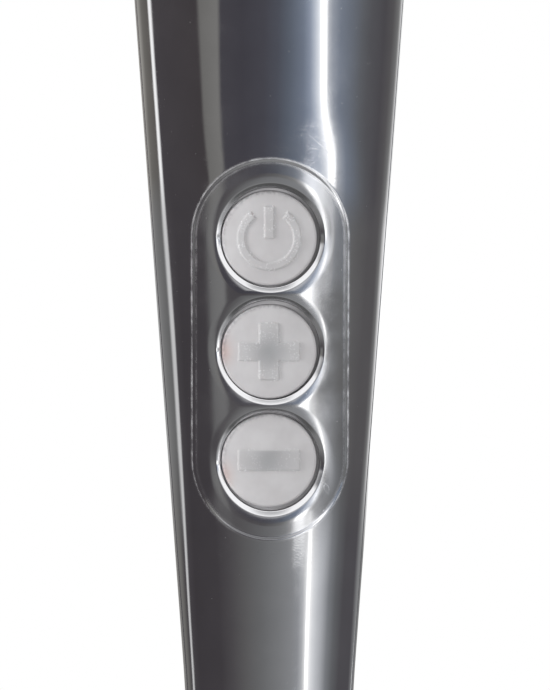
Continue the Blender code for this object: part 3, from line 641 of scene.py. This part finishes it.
def key(kind):
    """Key face on a fine grid with a rounded edge, and the key's side down to its back."""
    line = np.arange(-KEY_RADIUS, KEY_RADIUS, 0.16 * MM)
    gx, gy = (grid.ravel() for grid in np.meshgrid(line, line))
    keep = np.hypot(gx, gy) < KEY_RADIUS - KEY_EDGE - 0.1 * MM
    rim_steps = 220
    rings = [(gx[keep], gy[keep])]
    for b in np.radians(np.linspace(0, 88, 12)):
        rings.append(circle_points(KEY_RADIUS - KEY_EDGE * (1 - math.sin(b)), rim_steps, (0, 0)))
    x, y = (np.concatenate(v) for v in zip(*rings))
    h = key_height(kind, x, y)
    e = 3e-6
    slope_x = (key_height(kind, x + e, y) - key_height(kind, x - e, y)) / (2 * e)
    slope_y = (key_height(kind, x, y + e) - key_height(kind, x, y - e)) / (2 * e)
    steep = np.sqrt(slope_x**2 + slope_y**2 + 1)
    centre = PANEL_CENTRE + UP_PANEL * (KEY_CENTRES[kind] + KEY_PLAY[kind]) + ACROSS * KEY_SIDE
    verts = on_panel(x, y, h, centre)
    faces = triangulate(np.stack([x, y], axis=1) * 1000)
    faces = turned_to(np.tile(OUT_PANEL, (len(verts), 1)), faces, verts)
    cx, cy = circle_points(KEY_RADIUS, rim_steps, (0, 0))
    side = on_panel(cx / KEY_RADIUS, cy / KEY_RADIUS, np.zeros(rim_steps), 0)
    start = len(verts)
    verts = [*verts, *on_panel(cx, cy, h[-rim_steps:], centre),
             *on_panel(cx, cy, np.full(rim_steps, KEY_BACK), centre)]
    normals = [*on_panel(-slope_x / steep, -slope_y / steep, 1 / steep, 0), *side, *side]
    obj = build_mesh("key_face_" + kind, verts, [*faces, *tube(start, rim_steps)], normals)
    for label, values in key_patterns(kind, x, y).items():
        mark(obj, label, values)
    return obj


# Key mat: a sheet behind the front shell with a soft collar standing up round each key.
MAT_BACK, MAT_FRONT = 12.9 * MM, 14.1 * MM
MAT_RADIUS = 10.9 * MM
MAT_STEPS = 160
# Height of a collar: at its sides, how much higher above and below, and how it leans left and up.
COLLAR_TOP = 16.4 * MM
COLLAR_SWING = 2.5 * MM
COLLAR_LEAN = 0.4 * MM, 0.3 * MM
COLLAR_OUTER = HOLE_RADIUS - 0.05 * MM
COLLAR_INNER = KEY_RADIUS + 0.05 * MM


def key_mat():
    verts, faces = [], []

    def ring(x, h, n):
        start = len(verts)
        verts.extend(on_panel(x, h, n if np.ndim(n) else np.full(len(x), n)))
        return range(start, len(verts))

    def wall(a, b):
        faces.extend((a[i], a[j], b[j], b[i]) for i, j in ring_pairs(len(a)))

    def sheet(edge, rims, flip):
        ids = np.array([*edge, *(i for rim in rims for i in rim)])
        flat = np.stack(panel_xy(np.array([verts[i] for i in ids])), axis=1) * 1000
        holes = [(len(edge) + MAT_STEPS * k, MAT_STEPS) for k in range(len(rims))]
        made = ids[triangulate(flat, holes)]
        faces.extend(made[:, ::-1] if flip else made)

    angle = np.arange(MAT_STEPS) * 2 * math.pi / MAT_STEPS
    left, up = COLLAR_LEAN
    top = COLLAR_TOP + COLLAR_SWING * np.sin(angle) ** 2 + up * np.sin(angle) - left * np.cos(angle)
    fronts, backs = [], []
    for kind, centre in KEY_CENTRES.items():
        hole = circle_points(COLLAR_OUTER, MAT_STEPS, (0, centre))
        bore = circle_points(COLLAR_INNER, MAT_STEPS, (KEY_SIDE, centre + KEY_PLAY[kind]))
        rings = [ring(*hole, MAT_FRONT), ring(*hole, top), ring(*bore, top), ring(*bore, MAT_BACK)]
        for a, b in zip(rings, rings[1:]):
            wall(a, b)
        fronts.append(rings[0])
        backs.append(rings[-1])
    arc = np.linspace(-math.pi / 2, math.pi / 2, 49)
    x, h = -MAT_RADIUS * np.sin(arc), MAT_RADIUS * np.cos(arc) + KEY_PITCH
    x, h = np.concatenate([x, -x]), np.concatenate([h, -h])
    front_edge, back_edge = ring(x, h, MAT_FRONT), ring(x, h, MAT_BACK)
    wall(back_edge, front_edge)
    sheet(front_edge, fronts, False)
    sheet(back_edge, backs, True)
    return build_mesh("key_mat_skin", verts, faces, sharp=40)


# -------- node graphs


class Graph:
    """The nodes of a material or a world, with calls that add a node and give back its output."""

    def __init__(self, owner, coords):
        owner.use_nodes = True
        self.nodes, self.links = owner.node_tree.nodes, owner.node_tree.links
        self.coords = self.node("ShaderNodeTexCoord").outputs[coords]

    def put(self, socket, value):
        """Feed a socket with an output, a number, a vector or a colour."""
        if isinstance(value, bpy.types.NodeSocket):
            self.links.new(value, socket)
        else:
            socket.default_value = (*value, 1) if socket.type == "RGBA" else value

    def feed(self, made, **sockets):
        for name, value in sockets.items():
            self.put(made.inputs[name.replace("_", " ")], value)

    def node(self, kind, *inputs, **settings):
        """Inputs fill the first sockets; settings in capitals are sockets, and others the node's own."""
        made = self.nodes.new(kind)
        for name, value in settings.items():
            if name[0].isupper():
                self.feed(made, **{name: value})
            else:
                setattr(made, name, value)
        for socket, value in zip(made.inputs, inputs):
            self.put(socket, value)
        return made

    def math(self, operation, *values, clamp=False):
        return self.node("ShaderNodeMath", *values, operation=operation, use_clamp=clamp).outputs[0]

    def times(self, first, *others):
        for value in others:
            first = self.math("MULTIPLY", first, value)
        return first

    def plus(self, a, b):
        return self.math("ADD", a, b)

    def minus(self, a, b):
        return self.math("SUBTRACT", a, b)

    def span(self, value, low, high, out_low=0.0, out_high=1.0, easing="LINEAR"):
        """Value stretched from low..high to out_low..out_high, and held there."""
        return self.node("ShaderNodeMapRange", value, low, high, out_low, out_high,
                         interpolation_type=easing).outputs[0]

    def ramp(self, value, stops):
        made = self.node("ShaderNodeValToRGB", value)
        elements = made.color_ramp.elements
        while len(elements) < len(stops):
            elements.new(0.5)
        for element, (position, colour) in zip(elements, stops):
            element.position = position
            element.color = (*colour, 1)
        return made.outputs[0]

    def mixed(self, share, below, above, blend_type="MIX"):
        """Colour below with above laid over it by share."""
        made = self.node("ShaderNodeMix", share, data_type="RGBA", blend_type=blend_type)
        self.put(made.inputs[6], below)
        self.put(made.inputs[7], above)
        return made.outputs[2]

    def noise(self, scale, detail=2.0, turn=(0, 0, 0), stretch=(1, 1, 1), shift=0.0):
        """Noise value; a stretch above 1 draws it out along that turned axis."""
        mapping = self.node("ShaderNodeMapping", vector_type="TEXTURE", Vector=self.coords, Rotation=turn,
                            Location=(shift, shift / 2, shift / 3), Scale=tuple(s / scale for s in stretch))
        return self.node("ShaderNodeTexNoise", Vector=mapping.outputs[0], Scale=1.0, Detail=detail,
                         Roughness=0.55).outputs["Fac"]

    def cells(self, scale):
        """Distance to the middle of the nearest cell."""
        return self.node("ShaderNodeTexVoronoi", Vector=self.coords, Scale=scale).outputs["Distance"]

    def marked(self, label):
        return self.node("ShaderNodeAttribute", attribute_name=label).outputs["Fac"]

    def bumped(self, height, distance, strength=1.0, **under):
        """Normal bumped by the height, over Normal=another if that is given."""
        made = self.node("ShaderNodeBump", Height=height, Distance=distance, Strength=strength, **under)
        return made.outputs[0]

    def scratches(self, turn, scale, length, width, cover, shift):
        """Short thin lines along one turned axis, in patches that cover about that share of the surface."""
        drawn = self.noise(scale, 0.0, turn, (1, 1, length), shift)
        line = self.span(self.math("ABSOLUTE", self.minus(drawn, 0.5)), width, 0.0)
        patch = self.noise(scale / 6, 2.0, turn, (1, 1, 2), shift + 5)
        return self.times(line, self.span(patch, 0.62 - cover / 3, 0.76 - cover / 3))


# -------- materials


def material(name):
    made = bpy.data.materials.new(name)
    graph = Graph(made, "Object")
    return made, graph, graph.nodes["Principled BSDF"]


def polished_metal():
    made, g, shader = material("polished_alloy_look")
    waves = g.noise(48, 1.0, stretch=(1, 1, 4))
    cloud = g.noise(90, 3.0, shift=4)
    grain = g.noise(4200, 2.0, shift=1)
    # polishing marks that run round the handle, slanting ones, and a few broken stray scratches
    round_marks = g.scratches((0, math.radians(90), 0), 2600, 9, 0.05, 0.35, 2.0)
    slanting = g.scratches((0, math.radians(48), 0), 2200, 14, 0.035, 0.30, 7.0)
    marks = g.math("MAXIMUM", round_marks, slanting)
    stray = g.scratches((0.1, math.radians(-42), 0), 300, 6, 0.006, 0.42, 11.0)
    stray = g.times(stray, g.span(g.noise(340, 2.0, shift=17), 0.51, 0.61))
    pit = g.span(g.cells(420.0), 0.05, 0.02)
    nicks = g.span(g.noise(520, 4.0, shift=8), 0.32, 0.75)
    rubbed = g.times(g.marked("worn"), g.plus(nicks, 0.55))
    satin = g.times(g.marked("panel"), g.span(cloud, 0.3, 0.7, 0.02, 0.13))
    rough = g.span(cloud, 0.4, 0.7, 0.035, 0.085)
    dull = g.times(marks, 0.06), g.times(stray, 0.24), g.times(rubbed, 0.45), satin, g.times(pit, 0.25)
    for more in dull:
        rough = g.plus(rough, more)
    height = g.times(grain, g.span(cloud, 0.42, 0.62, 0.15, 0.6))
    for cut, depth in ((marks, 0.1), (stray, 0.8), (pit, 1.0)):
        height = g.minus(height, g.times(cut, depth))
    height = g.plus(height, g.times(rubbed, 1.6))
    normal = g.bumped(height, 0.0000035, Normal=g.bumped(waves, 0.0008))
    tint = g.ramp(cloud, [(0.3, (0.61, 0.61, 0.62)), (0.7, (0.67, 0.67, 0.68))])
    bare = g.math("MULTIPLY", rubbed, 1.0, clamp=True)
    colour = g.mixed(bare, tint, (0.97, 0.97, 0.98))
    g.feed(shader, Base_Color=colour, Roughness=rough, Normal=normal, Metallic=1.0)
    return made


def key_silicone():
    made, g, shader = material("key_silicone_look")
    icon, icon_edge, worn, glow, rim = (g.marked(n) for n in ("icon", "icon_edge", "worn", "glow", "rim"))
    colour = g.ramp(g.noise(170, 3.0), [(0.3, (0.58, 0.565, 0.575)), (0.7, (0.66, 0.65, 0.66))])
    wrinkle = g.span(g.noise(1500, 3.0, shift=12), 0.35, 0.65)
    # Over the key's tone: a worn middle of the symbol, the symbol's own tone, a painted reddish glow of a
    # lamp inside, and painted shade on the upper left of the rim, mottled by wrinkle noise.
    shades = [(g.times(worn, icon), (0.66, 0.67, 0.68)), (g.times(icon, 0.6), (0.86, 0.87, 0.87)),
              (glow, (0.96, 0.80, 0.76)), (g.times(rim, wrinkle), (0.66, 0.66, 0.67))]
    for share, shade in shades:
        colour = g.mixed(share, colour, shade, "MULTIPLY")
    # frosted flecks, mostly along the edges of the raised symbol
    fleck = g.span(g.cells(2700.0), 0.45, 0.15)
    patch = g.span(g.noise(520, 2.0, shift=3), 0.46, 0.6)
    near_edge = g.times(g.math("MAXIMUM", icon_edge, g.times(icon, 0.5)), g.minus(1.0, worn))
    sparkle = g.times(fleck, patch, near_edge)
    rough = g.span(g.noise(900, 3.0, shift=6), 0.3, 0.7, 0.36, 0.54)
    height = g.plus(g.times(g.noise(1300, 3.0, shift=9), 0.3), sparkle)
    g.feed(shader, Base_Color=g.mixed(sparkle, colour, (0.97, 0.97, 0.98)), Roughness=rough,
           Subsurface_Weight=0.18, Subsurface_Radius=(1.0, 0.85, 0.8), Subsurface_Scale=0.0009,
           Normal=g.bumped(height, 0.00003))
    return made


def plain(name, low, high, scale, roughness, metallic=0.0, bump_height=0.00002, bump_scale=2000.0):
    """Slightly mottled material with a fine surface."""
    made, g, shader = material(name)
    cloud = g.node("ShaderNodeTexNoise", Vector=g.coords, Scale=scale, Detail=4.0).outputs["Fac"]
    fine = g.node("ShaderNodeTexNoise", Vector=g.coords, Scale=bump_scale, Detail=3.0).outputs["Fac"]
    g.feed(shader, Base_Color=g.ramp(cloud, [(0.3, low), (0.7, high)]), Metallic=metallic,
           Roughness=g.span(cloud, 0.0, 1.0, roughness * 0.88, roughness * 1.12),
           Normal=g.bumped(fine, bump_height, 0.5))
    return made


# Low and high colour, mottle scale and roughness, then metallic, bump height and bump scale.
PLAIN = {
    "inner_silicone": ((0.52, 0.51, 0.53), (0.62, 0.61, 0.62), 150, 0.5),
    "black_silicone": ((0.016, 0.016, 0.018), (0.030, 0.030, 0.033), 120, 0.5, 0.0, 0.00005, 1500),
    "hard_plastic": ((0.045, 0.045, 0.05), (0.075, 0.075, 0.08), 200, 0.42),
    "steel": ((0.42, 0.42, 0.43), (0.58, 0.58, 0.59), 400, 0.28, 1.0),
    "brass": ((0.62, 0.46, 0.20), (0.76, 0.58, 0.28), 300, 0.26, 1.0),
    "copper": ((0.58, 0.26, 0.12), (0.74, 0.36, 0.18), 500, 0.32, 1.0),
    "ferrite": ((0.07, 0.07, 0.075), (0.11, 0.11, 0.12), 400, 0.7),
    "board_green": ((0.012, 0.12, 0.05), (0.02, 0.17, 0.075), 250, 0.35),
    "rubber": ((0.02, 0.02, 0.02), (0.045, 0.045, 0.045), 250, 0.75),
    "led_clear": ((0.80, 0.26, 0.20), (0.88, 0.34, 0.28), 500, 0.2),
    "wire_red": ((0.50, 0.02, 0.02), (0.62, 0.04, 0.04), 300, 0.45),
    "wire_black": ((0.015, 0.015, 0.015), (0.03, 0.03, 0.03), 300, 0.45),
}
KEY_LOOK = key_silicone()
LOOKS = {name: plain(name + "_look", *values) for name, values in PLAIN.items()}
LOOKS["polished_alloy"] = polished_metal()
# The key mat has the keys' slot, but not their worn look, painted glow and painted rim shade.
LOOKS["key_silicone"] = LOOKS["inner_silicone"]


def cover(obj, look):
    obj.data.materials.clear()
    obj.data.materials.append(look)


for part in frame["record"]["subparts"]:
    cover(frame["nodes"][part["node"]], LOOKS[part["material_slot"]])


# -------- pieces


def finish_piece(obj, slot, body, replaced, look=None):
    """A piece that rides on one body in place of a node of the frame."""
    cover(obj, look or LOOKS[slot])
    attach(obj, body)
    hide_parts(replaced)


# ---- neck sleeve, spring and coupling sleeve, each in two halves that meet at the neck's middle, in mm

NECK_SPLIT = 273.4
BEND_ENDS = 262.0, 285.0
RIB_PITCH = 5.6
RIB_BOTTOMS = [262.6 + RIB_PITCH * k for k in range(4)]
RIB_RADIUS, GROOVE_RADIUS = 14.6, 12.9
SLEEVE_BORE, SLEEVE_CUFF = 11.2, 14.2
SPRING_RADIUS, SPRING_WIRE, SPRING_TURNS = 9.3 * MM, 0.9 * MM, 6
SPRING_ENDS = 257.3 * MM, 292.0 * MM
# The coupling sleeve bends only between the faces of its two hubs.
HUB_FACES = 269.0, 278.0
COUPLING_ENDS = 263.5, 283.5
COUPLING_BORE, COUPLING_RADIUS = 5.3, 7.0


def rib(bottom):
    """Outline of one rib and the groove above it."""
    corners = ((GROOVE_RADIUS, 0), (RIB_RADIUS, 0.25), (RIB_RADIUS, 0.6), (GROOVE_RADIUS, 0.85))
    return [(r, bottom + share * RIB_PITCH) for r, share in corners]


def neck_sleeve(name, lower):
    ribs = [p for bottom in (RIB_BOTTOMS[:2] if lower else RIB_BOTTOMS[2:]) for p in rib(bottom)]
    if lower:
        outer = [(SLEEVE_BORE, 256.4), (SLEEVE_CUFF, 256.4), (SLEEVE_CUFF, 259.0), (12.2, 259.4),
                 (12.2, 262.0), *ribs, (GROOVE_RADIUS, NECK_SPLIT)]
        bore = np.linspace(NECK_SPLIT, 258, 13)
    else:
        outer = [(GROOVE_RADIUS, NECK_SPLIT), *ribs, (12.5, 285.0), (12.2, 285.6), (12.2, 290.0),
                 (SLEEVE_CUFF, 290.4), (SLEEVE_CUFF, 292.9), (SLEEVE_BORE, 292.9)]
        bore = np.linspace(291, NECK_SPLIT, 13)
    profile = rounded(in_mm(outer), 0.8 * MM, 6) + in_mm((SLEEVE_BORE, z) for z in bore)
    return lathe(name, profile, 144, True, seam=0.07 * MM)


def neck_spring(name, lower):
    low, high = SPRING_ENDS
    split = NECK_SPLIT * MM
    heights = np.linspace(*((low, split) if lower else (split, high)), 18 * SPRING_TURNS)
    verts, ring = [], 8
    for z in heights:
        a = 2 * math.pi * SPRING_TURNS * (z - low) / (high - low)
        for b in np.arange(ring) * 2 * math.pi / ring:
            r = SPRING_RADIUS + SPRING_WIRE * math.cos(b)
            verts.append((r * math.cos(a), r * math.sin(a), z + SPRING_WIRE * math.sin(b)))
    count = len(verts)
    ends = [range(ring), range(count - 1, count - 1 - ring, -1)]
    return build_mesh(name, verts, tube(0, ring, len(heights)) + ends)


def coupling_sleeve(name, lower):
    low, high = COUPLING_ENDS
    side = np.linspace(*((low, NECK_SPLIT) if lower else (NECK_SPLIT, high)), 21)
    profile = [(COUPLING_BORE, side[0]), *((COUPLING_RADIUS, z) for z in side)]
    return lathe(name, in_mm([*profile, *((COUPLING_BORE, z) for z in side[:0:-1])]), 64, True)


def neck():
    """The pieces round the neck's middle, each in a lower and an upper half, in place of the frame's nodes.
    """
    for part in ("lower", "upper"):
        for name, make, slot, (low, high) in (
            ("neck_sleeve", neck_sleeve, "black_silicone", BEND_ENDS),
            ("neck_spring", neck_spring, "steel", BEND_ENDS),
            ("coupling_sleeve", coupling_sleeve, "rubber", HUB_FACES),
        ):
            half = make(f"{name}_{part}", part == "lower")
            cover(half, LOOKS[slot])
            if part == "lower":
                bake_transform(half)
            else:
                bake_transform(half)
            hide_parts(name)


# ---- head, in mm

CAP_OUTSIDE = [(20.6, 286.4), (22.4, 287.2), (24.8, 289.8), (27.8, 296.5), (29.5, 305.5), (30.0, 317.0),
               (29.8, 325.5), (28.0, 334.0), (24.0, 341.2), (18.0, 346.2), (10.0, 349.1), (0.0, 350.0)]
CAP_INSIDE = [(0.0, 345.8), (8.05, 345.0), (15.1, 342.2), (20.75, 337.4), (24.35, 330.7), (26.05, 322.1),
              (26.05, 302.0), (24.4, 294.0), (20.9, 287.9), (19.4, 286.9)]


def head_cap():
    lip = [(19.7, 286.45), (20.1, 286.3)]
    profile = in_mm(smooth_curve(CAP_INSIDE, 3) + lip + smooth_curve(CAP_OUTSIDE, 7))
    return lathe("head_cap_skin", profile[1:-1] + [(0, 350 * MM)], 160, seam=0.07 * MM)


def head_base():
    """Hard collar under the head, with a round groove, out of which the neck comes."""
    profile = [(12.62, 290.4), (12.62, 286.0), (14.6, 286.0), (15.0, 286.5), (15.6, 286.5), (16.0, 286.0),
               (17.3, 286.0), (20.4, 287.9), (23.9, 294.0), (25.5, 302.0), (25.6, 317.8), (24.4, 317.8)]
    return lathe("head_base_skin", rounded(in_mm(profile), 0.35 * MM, 4), 144)


# ---- base, in mm


def end_cap():
    """Soft plug with fine rings round its foot."""
    foot = [(5.92, 19.9), (5.92, 0.05), (7.4, 0.0)]
    for r in (8.6, 10.6, 12.6):
        foot += [(r, 0.0), (r + 0.25, 0.45), (r + 0.75, 0.45), (r + 1.0, 0.0)]
    profile = rounded(in_mm([*foot, (16.2, 0.0)]), 0.2 * MM, 3)
    profile += in_mm(smooth_curve([(16.2, 0.0), (17.2, 0.4), (18.3, 1.8), (18.7, 5.0), (18.72, 9.9)], 5))[1:]
    return lathe("end_cap_skin", profile + in_mm([(15.7, 9.95), (15.7, 19.9)]), 144, True, seam=0.05 * MM)


def inlet_socket():
    profile = [(1.3, 17.0), (1.3, 11.0), (2.9, 11.0), (2.9, 1.2), (3.4, 0.6), (5.2, 0.6), (5.6, 1.0),
               (5.6, 17.0)]
    return lathe("power_inlet_skin", rounded(in_mm(profile), 0.2 * MM, 3), 96, True)


def inlet_pin():
    tip = [(math.sin(a), 3.4 - math.cos(a)) for a in np.radians(np.linspace(0, 90, 8))]
    return lathe("power_inlet_pin_skin", in_mm([(0.0, 2.4), *tip[1:], (1.0, 18.5), (0.0, 18.5)]), 48)


# ---- screws of the rear shell: radius and height above the seat, in mm, of the head and of its socket

SCREW_HEAD = [(1.2, -7.0), (1.2, -0.02), (2.66, 0.0), (2.7, 0.15), (2.7, 1.3), (2.62, 1.62), (2.4, 1.86),
              (2.05, 1.98)]
SCREW_SOCKET = [(1.62, 2.0), (1.46, 1.84), (1.44, 0.95)]


def screw(label):
    """Pan head with a hexagon socket, seen from behind."""
    x0, z0, seat = WELLS[label]
    count = 48
    angles = np.arange(count) * 2 * math.pi / count
    hexagon = math.cos(math.pi / 6) / np.cos((angles + math.pi / 6) % (math.pi / 3) - math.pi / 6)
    rings = [(r * MM * np.ones(count), y) for r, y in SCREW_HEAD]
    rings += [(r * MM * hexagon, y) for r, y in SCREW_SOCKET]
    verts = [(x0, seat - 7.2 * MM, z0)]
    for radii, y in rings:
        verts += [(x0 + q * math.cos(a), seat + y * MM, z0 + q * math.sin(a)) for q, a in zip(radii, angles)]
    verts.append((x0, seat + 0.7 * MM, z0))
    last = len(verts) - 1 - count
    faces = tube(1, count, len(rings))
    for i, j in ring_pairs(count):
        faces += [(0, 1 + i, 1 + j), (last + i, len(verts) - 1, last + j)]
    return build_mesh("shell_screw_skin_" + label, verts, faces, sharp=35)


finish_piece(shell("shell_skin_front", True), "polished_alloy", "handle", "front_shell")
finish_piece(shell("shell_skin_rear", False), "polished_alloy", "handle", "rear_shell")
for kind in KEY_CENTRES:
    finish_piece(key(kind), "key_silicone", "key_" + kind, "key_" + kind, KEY_LOOK)
finish_piece(key_mat(), "key_silicone", "handle", "key_membrane")
for label in WELLS:
    finish_piece(screw(label), "steel", "handle", "shell_screw_" + label)
finish_piece(end_cap(), "black_silicone", "handle", "end_cap")
finish_piece(inlet_socket(), "hard_plastic", "handle", "power_inlet_body")
finish_piece(inlet_pin(), "brass", "handle", "power_inlet_pin")
finish_piece(head_cap(), "black_silicone", "head", "head_cap")
finish_piece(head_base(), "hard_plastic", "head", "head_core_lower")
neck()


# -------- stage, lights and camera


# The studio round the wand, by the azimuth of the light seen from the front: how bright (0 to 255)
# and how blue the polished metal shows it, level with the wand, a little lower, and lower still.
LEVEL_STRIPS = [
    (-180, 120, -6), (-158, 131, -6), (-146, 98, -6), (-127.5, 86, -6), (-125, 240), (-121.5, 240),
    (-118.5, 64), (-63.5, 59, -2), (-60.5, 104, -3), (-46, 113, -3), (-43.5, 65, 4), (-24, 62, 5),
    (-4, 68, 7), (8, 78, 12), (16, 94, 18), (27, 118, 24), (33, 146, 26), (38, 190, 18), (42.5, 228, 10),
    (46, 255), (49.5, 255), (51, 190, 8), (56, 150, 16), (63, 122, 20), (72, 110, 17), (88, 92, 7),
    (98, 82, 4), (118, 71, 2), (134, 80), (146, 108), (155, 190), (180, 200),
]
MIDDLE_STRIPS = [
    (-180, 130), (-160, 140), (-150, 112), (-130, 96), (-125.5, 190), (-121, 190), (-118, 66),
    (-104, 58), (-69, 60), (-66, 74), (-62, 106), (-47, 114), (-44, 72), (-24, 68), (-8, 76), (4, 88),
    (14, 104), (22, 126), (28, 176), (32, 255), (40, 255), (45, 205), (52, 136, 2), (62, 112, 2),
    (80, 98), (96, 88), (112, 80), (132, 79), (142, 108), (151, 190), (160, 225), (180, 225),
]
LOW_STRIPS = [
    (-180, 120, -4), (-140, 100, -4), (-126, 58), (-124, 190), (-121, 190), (-118, 64), (-104, 56),
    (-66, 59), (-50, 71), (-32, 87), (-10, 102, 2), (10, 116, 3), (28, 129, 4), (36, 140, 6),
    (42, 174, 4), (45.5, 212, 2), (47, 242), (48, 255), (50.5, 255), (52, 244), (56, 218, 4),
    (63, 192, 6), (72, 164, 6), (81, 122, 6), (92, 94, 4), (106, 73, 2), (132, 71, 2), (144, 118, 2),
    (160, 112), (180, 120),
]
METAL_TONE = 0.64


def light_for(level, blueness=0):
    """Light that shows as this level in the metal. Dark tones lean to violet, and white is a highlight."""
    violet = 3 * min(max((95 - level) / 30, 0), 1)
    channels = (level - blueness * 0.35 + violet, level, level + blueness * 0.6 + violet)
    linear = [((min(c, 255) / 255 + 0.055) / 1.055) ** 2.4 for c in channels]
    boost = 1.6 if level == 255 else 1.0
    return tuple(c / METAL_TONE * boost for c in linear)


def strips(g, stops, turn):
    """Light of the strips at a turn of -0.5 to 0.5."""
    return g.ramp(g.plus(turn, 0.5), [(a / 360 + 0.5, light_for(*light)) for a, *light in stops])


def studio_light(g):
    """What the polished surfaces mirror, by direction."""
    x, y, z = g.node("ShaderNodeSeparateXYZ", g.coords).outputs
    turn = g.math("DIVIDE", g.math("ARCTAN2", x, g.times(y, -1.0)), 2 * math.pi)
    # heights are counted from what the upright taper of the wand reflects in one level row
    sideways = g.math("COSINE", g.times(turn, math.pi))
    row = g.minus(z, g.times(g.minus(1.0, sideways), 2 * TAPER))
    # the strips in front swing to the right at their lower ends
    ahead = g.times(g.span(g.math("ABSOLUTE", turn), 70 / 360, 110 / 360, 1.0, 0.0),
                    g.span(turn, -15 / 360, 25 / 360, -0.07, 0.2))
    spread = g.span(row, -0.056, -0.085, easing="SMOOTHSTEP")
    swung = g.times(turn, g.minus(1.0, g.times(ahead, spread)))
    # the tent is dim round the camera, a little above it
    aside = g.math("ABSOLUTE", g.plus(turn, 12 / 360))
    dim = g.times(g.span(aside, 50 / 360, 25 / 360), g.span(z, 0.09, 0.16), g.span(z, 0.62, 0.5))
    sky = strips(g, LEVEL_STRIPS, swung)
    layers = (
        (g.span(row, -0.086, -0.102), strips(g, MIDDLE_STRIPS, turn)),
        (g.span(row, -0.185, -0.22), strips(g, LOW_STRIPS, turn)),
        (g.span(row, 0.04, 0.17), (1.4, 1.4, 1.41)),
        (dim, (0.26, 0.26, 0.27)),
        (g.span(z, 0.93, 0.995), (0.42, 0.42, 0.43)),
        (g.span(z, -0.27, -0.55, 0.0, 0.75), (0.34, 0.34, 0.34)),
        (g.span(z, -0.80, -0.90), (0.12, 0.12, 0.12)),
    )
    for share, light in layers:
        sky = g.mixed(share, sky, light)
    return sky


def make_world():
    """A studio for mirroring surfaces, an even tent that lights soft ones, and white paper behind."""
    world = bpy.data.worlds.new("studio")
    bpy.context.scene.world = world
    world.use_nodes = True
    world.node_tree.nodes.clear()
    g = Graph(world, "Generated")
    height = g.node("ShaderNodeSeparateXYZ", g.coords).outputs[2]
    levels = ((0.0, 0.24), (0.5, 0.30), (1.0, 0.55))
    tent = g.ramp(g.span(height, -1.0, 1.0), [(at, (level,) * 3) for at, level in levels])
    lights = (studio_light(g), tent, (1, 1, 1))
    studio, soft, paper = (g.node("ShaderNodeBackground", light).outputs[0] for light in lights)
    path = g.node("ShaderNodeLightPath").outputs
    shade = g.node("ShaderNodeMixShader", path["Is Diffuse Ray"], studio, soft).outputs[0]
    seen = g.node("ShaderNodeMixShader", path["Is Camera Ray"], shade, paper).outputs[0]
    g.node("ShaderNodeOutputWorld", Surface=seen)


def make_floor():
    """Pale ground that fades into the white round the wand."""
    bpy.ops.mesh.primitive_circle_add(vertices=96, radius=3.0, fill_type="NGON", location=(0, 0, -0.0002))
    floor = bpy.context.object
    floor.name = "floor"
    made, g, shader = material("pale_floor")
    away = g.node("ShaderNodeVectorMath", g.coords, operation="LENGTH").outputs["Value"]
    far = g.span(away, 0.12, 0.55, easing="SMOOTHSTEP")
    g.feed(shader, Base_Color=(0.86, 0.86, 0.86), Roughness=0.9, Specular_IOR_Level=0.1)
    glow = g.node("ShaderNodeEmission", (1, 1, 1)).outputs[0]
    fade = g.node("ShaderNodeMixShader", far, shader.outputs[0], glow).outputs[0]
    g.feed(g.nodes["Material Output"], Surface=fade)
    floor.data.materials.append(made)
    floor.visible_glossy = False


def area(name, place, aim, size, energy):
    """Soft light that neither the camera nor the polished metal sees."""
    light = bpy.data.lights.new(name, "AREA")
    light.size = size
    light.energy = energy
    obj = placed(name, light)
    obj.location = place
    obj.rotation_euler = (Vector(aim) - Vector(place)).to_track_quat("-Z", "Y").to_euler()
    obj.visible_camera = False
    obj.visible_glossy = False


def make_camera():
    """Straight on to the panel from 0.52 m, turned by a fraction of a degree."""
    distance, framed_height = 0.52, 132.6923 * MM
    turn = math.radians(-0.7)
    camera = bpy.data.cameras.new("camera")
    camera.sensor_width = 36.0
    camera.lens = camera.sensor_width * distance / framed_height
    camera.clip_start = 0.01
    obj = placed("camera", camera)
    obj.location = (distance * math.sin(turn) + 1.1 * MM, -distance * math.cos(turn), PANEL_Z - 0.5 * MM)
    obj.rotation_euler = (math.radians(90), 0, turn)
    bpy.context.scene.camera = obj


make_world()
make_floor()
make_camera()
area("top_light", (0.0, -0.3, 1.2), (0, 0, 0.1), 1.2, 2)
area("side_light", (-0.9, -0.35, 0.35), (0, 0, 0.17), 0.35, 5)
bpy.context.scene.view_settings.view_transform = "Standard"
bpy.context.scene.view_settings.look = "None"
